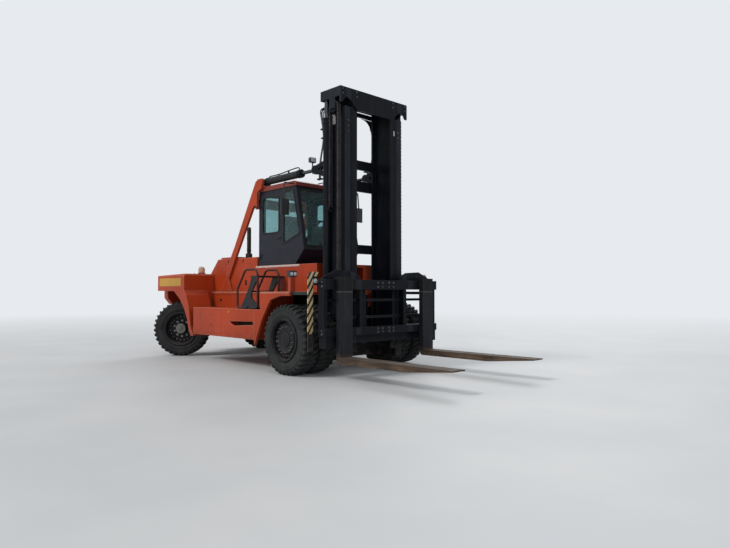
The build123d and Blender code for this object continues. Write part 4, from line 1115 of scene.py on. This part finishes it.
# Bolted trim strips along the deck's edge, their pale colour partly a painted highlight.
for side in BOTH:
    add_box(bm, at(-2.125, side * 0.8495, 2.076), at(-0.56, side * 0.8560, 2.1195), 0.002)
    for step in range(8):
        add_bolt(bm, at(-2.05 + step * 0.205, side * 0.856, 2.098), (0, side, 0), 0.006)
piece("deck_edge_highlight_strips", bm, "strip", "chassis")
blocks("step_grips", "seal", "frame_paint",
       *((-1.400 + step * 0.055, 1.260, 1.5773, (0.005, 0.23, 0.0025), 0.0015) for step in range(3)),
       *((-1.280 + step * 0.055, 1.180, 1.8823, (0.005, 0.31, 0.0025), 0.0015) for step in range(4)))
bm = bmesh.new()
for row in (*range(8), *range(10, 14)):
    for column in range(22):
        y = -0.80 + column * 0.075 + (0.0375 if row % 2 else 0.0)
        add_block(bm, (-0.74 + row * 0.05, y, 2.12175), (0.014, 0.003, 0.00175), 0.0,
                  turned(45 if (row + column) % 2 else -45, "Z"))
piece("deck_tread", bm, "deck", "chassis")

# Headlamps: lenses and rims, with a lamp on each guard's box
post_lens = ((0.001, 0.0), (0.036, 0.0), (0.038, 0.006), (0.020, 0.012), (0.001, 0.013))
post_rim = ((0.037, -0.002), (0.044, -0.002), (0.044, 0.010), (0.040, 0.012), (0.037, 0.008))
guard_lens = ((0.001, 0.0), (0.044, 0.0), (0.046, 0.006), (0.026, 0.014), (0.001, 0.016))
guard_rim = ((0.045, -0.002), (0.053, -0.002), (0.053, 0.010), (0.049, 0.012), (0.045, 0.008))
lens_bm, rim_bm = bmesh.new(), bmesh.new()
for side in BOTH:
    for x, y, z, lens, rim in ((0.0402, 1.420, 1.895, post_lens, post_rim),
                               (0.0402, 1.500, 1.895, post_lens, post_rim),
                               (0.6852, 1.452, 1.755, guard_lens, guard_rim)):
        place = turned(90, "Y", at(x, side * y, z))
        add_turned(lens_bm, place, lens, 28)
        add_turned(rim_bm, place, rim, 28)
    add_block(rim_bm, (-0.008, side * 1.46, 1.952), (0.054, 0.082, 0.004), 0.002)
piece("headlamp_lenses", lens_bm, "lens", "chassis")
piece("headlamp_rims", rim_bm, "plastic", "chassis")

# Mirror faces
bm = bmesh.new()
for side in BOTH:
    face = rectangle(side * 1.035 - 0.084, side * 1.035 + 0.084, 3.145, 3.435)
    add_plate(bm, face, front_place(-0.8352, -1), 0.002, 0.03)
piece("mirror_faces", bm, "mirror", "chassis")

# Mast: blank plates, bolts, glands and curved corner gussets under the outer mast's top tie

plates("mast_plates", "plate", "outer_mast", rectangle(0.33, 0.45, 4.79, 4.98), 0.770,
       0.003, 0.008)
bm = bmesh.new()
add_plate(bm, rectangle(0.555, 0.585, 4.740, 4.840), front_place(0.730), 0.003, 0.006)
piece("mast_front_plate", bm, "plate", "inner_mast")
bolts("mast_bolts", "nut", "outer_mast", "mast_paint",
      (0.014, FORWARD, (0.7302,), (0.69,), (4.62, 4.72, 4.82)),
      (0.016, BACK, (0.1198,), (0.70,), (2.38, 2.47, 3.67, 3.77, 5.05, 5.19)),
      (0.011, OUT, (0.245, 0.325), (0.900,), (1.410, 1.450)))

bm = bmesh.new()
for side in BOTH:
    for z in (1.45, 4.80, 4.885):
        add_turned(bm, Matrix.Translation(at(0.285, side * 0.847, z)),
                   ((0.069, 0.0), (0.080, 0.004), (0.080, 0.030), (0.069, 0.034)), 40)
piece("lift_glands", bm, "mast", "outer_mast")
bolts("crosshead_bolts", "nut", "inner_mast", "mast_paint",
      (0.013, FORWARD, (0.7662,), (0.50, 0.86), (5.30, 5.39)))

bm = bmesh.new()
curve = [(0.25 + 0.27 * sin(pi / 2 * k / 8), 4.95 + 0.21 * cos(pi / 2 * k / 8)) for k in range(1, 9)]
outline = [(0.54, 5.1605), (0.25, 5.1605), *curve, (0.54, 4.95)]
for side in BOTH:
    add_prism(bm, *([at(x, side * y, z) for y, z in outline] for x in (0.082, 0.102)))
piece("tie_gussets", bm, "mast", "outer_mast")
bolts("carriage_bolts", "nut", "carriage", "mast_paint",
      (0.015, FORWARD, (1.0499,), (0.09, 0.21), (0.80, 0.86, 1.65, 1.73)),
      (0.015, OUT, (0.955,), (1.5199,), (0.80, 0.86, 1.65, 1.73)))

# Tilt cylinders: glands, pipes and their clips
tilt_rear_x, tilt_rear_z = -2.013, 3.985
tilt_eye_x, tilt_eye_z = -0.230, 4.005
tilt_y = 0.700
tilt_way = Vector((tilt_eye_x - tilt_rear_x, 0, tilt_eye_z - tilt_rear_z)).normalized()
pipe_run = (
    # way along the barrel, height over its top
    (0.13, -0.01), (0.14, 0.030), (0.22, 0.034), (0.45, 0.030), (0.62, 0.038), (0.90, 0.062), (1.12, 0.075),
    (1.20, 0.068), (1.235, 0.030), (1.245, -0.01),
)
for side_name, side in SIDES:
    body = f"tilt_barrel_{side_name}"
    bm = bmesh.new()
    foot = at(tilt_rear_x, side * tilt_y, tilt_rear_z)
    for distance, radius, length in ((0.105, 0.086, 0.05), (1.235, 0.088, 0.095)):
        add_rod(bm, foot + tilt_way * distance, foot + tilt_way * (distance + length), radius, 40)
    for step in range(8):
        angle = tau * step / 8
        spot = Vector((0, cos(angle), sin(angle))) * 0.070
        add_bolt(bm, foot + tilt_way * 1.3328 + spot, tilt_way, 0.008, 0.005)
    piece(f"tilt_gland_{side_name}", bm, "mast", body)
    above = foot + Vector((0, -side * 0.02, 0.076))
    pipe = [above + tilt_way * way + Vector((0, 0, up)) for way, up in pipe_run]
    tubes(f"tilt_pipe_{side_name}", [pipe], 0.012, "mast", body)
    bm = bmesh.new()
    for way, height in ((0.50, 0.020), (0.85, 0.045)):
        middle = above + tilt_way * way
        add_box(bm, middle + Vector((-0.012, -0.016, -0.006)), middle + Vector((0.012, 0.016, height)), 0.003)
    piece(f"tilt_pipe_clips_{side_name}", bm, "mast", body)

# Hydraulic lines clipped behind each mast column, and the tilt bracket's work lamp
line_runs = (
    # x and z of each line, from the top tie's fitting down
    ((0.118, 5.215), (-0.060, 5.215), (-0.098, 5.150), (-0.060, 5.000), (-0.020, 4.800), (0.005, 4.620),
     (-0.040, 4.400), (-0.095, 4.200), (-0.118, 4.060), (-0.126, 3.900), (-0.124, 3.780)),
    ((0.118, 5.175), (-0.010, 5.165), (-0.040, 5.090), (-0.005, 4.960), (0.022, 4.800), (0.034, 4.640),
     (-0.005, 4.420), (-0.060, 4.220), (-0.080, 4.060), (-0.086, 3.900), (-0.084, 3.780)),
    ((0.118, 5.135), (0.045, 5.110), (0.036, 5.030), (0.060, 4.920), (0.064, 4.800), (0.062, 4.660),
     (0.040, 4.440), (-0.015, 4.240), (-0.040, 4.060), (-0.046, 3.900), (-0.044, 3.780)),
)
line_y = 0.694
line_pitch = 0.020
for side_name, side in SIDES:
    routes = [[at(x, side * (line_y + line_pitch * index), z) for x, z in run]
              for index, run in enumerate(line_runs)]
    tubes(f"mast_lines_{side_name}", routes, 0.0125, "hose", "outer_mast")
    bm = bmesh.new()
    clip_y = side * (line_y + line_pitch)
    for z, x in ((5.175, -0.02), (4.780, -0.034), (4.600, -0.012), (3.800, -0.138)):
        add_box(bm, at(x, clip_y - 0.010, z - 0.008), at(0.121, clip_y + 0.010, z + 0.008), 0.002)
        add_block(bm, (x + 0.059, clip_y, z), (0.061, 0.033, 0.014), 0.004)
    piece(f"line_clips_{side_name}", bm, "mast", "outer_mast")
    lamp_y = side * 0.765
    bm = bmesh.new()
    add_rod(bm, at(-0.255, lamp_y, 4.035), at(-0.255, lamp_y, 4.150), 0.012, 14)
    add_block(bm, (-0.2575, lamp_y, 4.1975), (0.0425, 0.070, 0.0525), 0.014)
    for fin in range(5):
        add_block(bm, (-0.308, lamp_y, 4.163 + fin * 0.017), (0.010, 0.060, 0.003), 0.001)
    piece(f"work_lamp_{side_name}", bm, "plastic", "outer_mast")
    bm = bmesh.new()
    add_block(bm, (-0.213, lamp_y, 4.1975), (0.004, 0.060, 0.0425), 0.003)
    piece(f"work_lamp_lens_{side_name}", bm, "lens", "outer_mast")
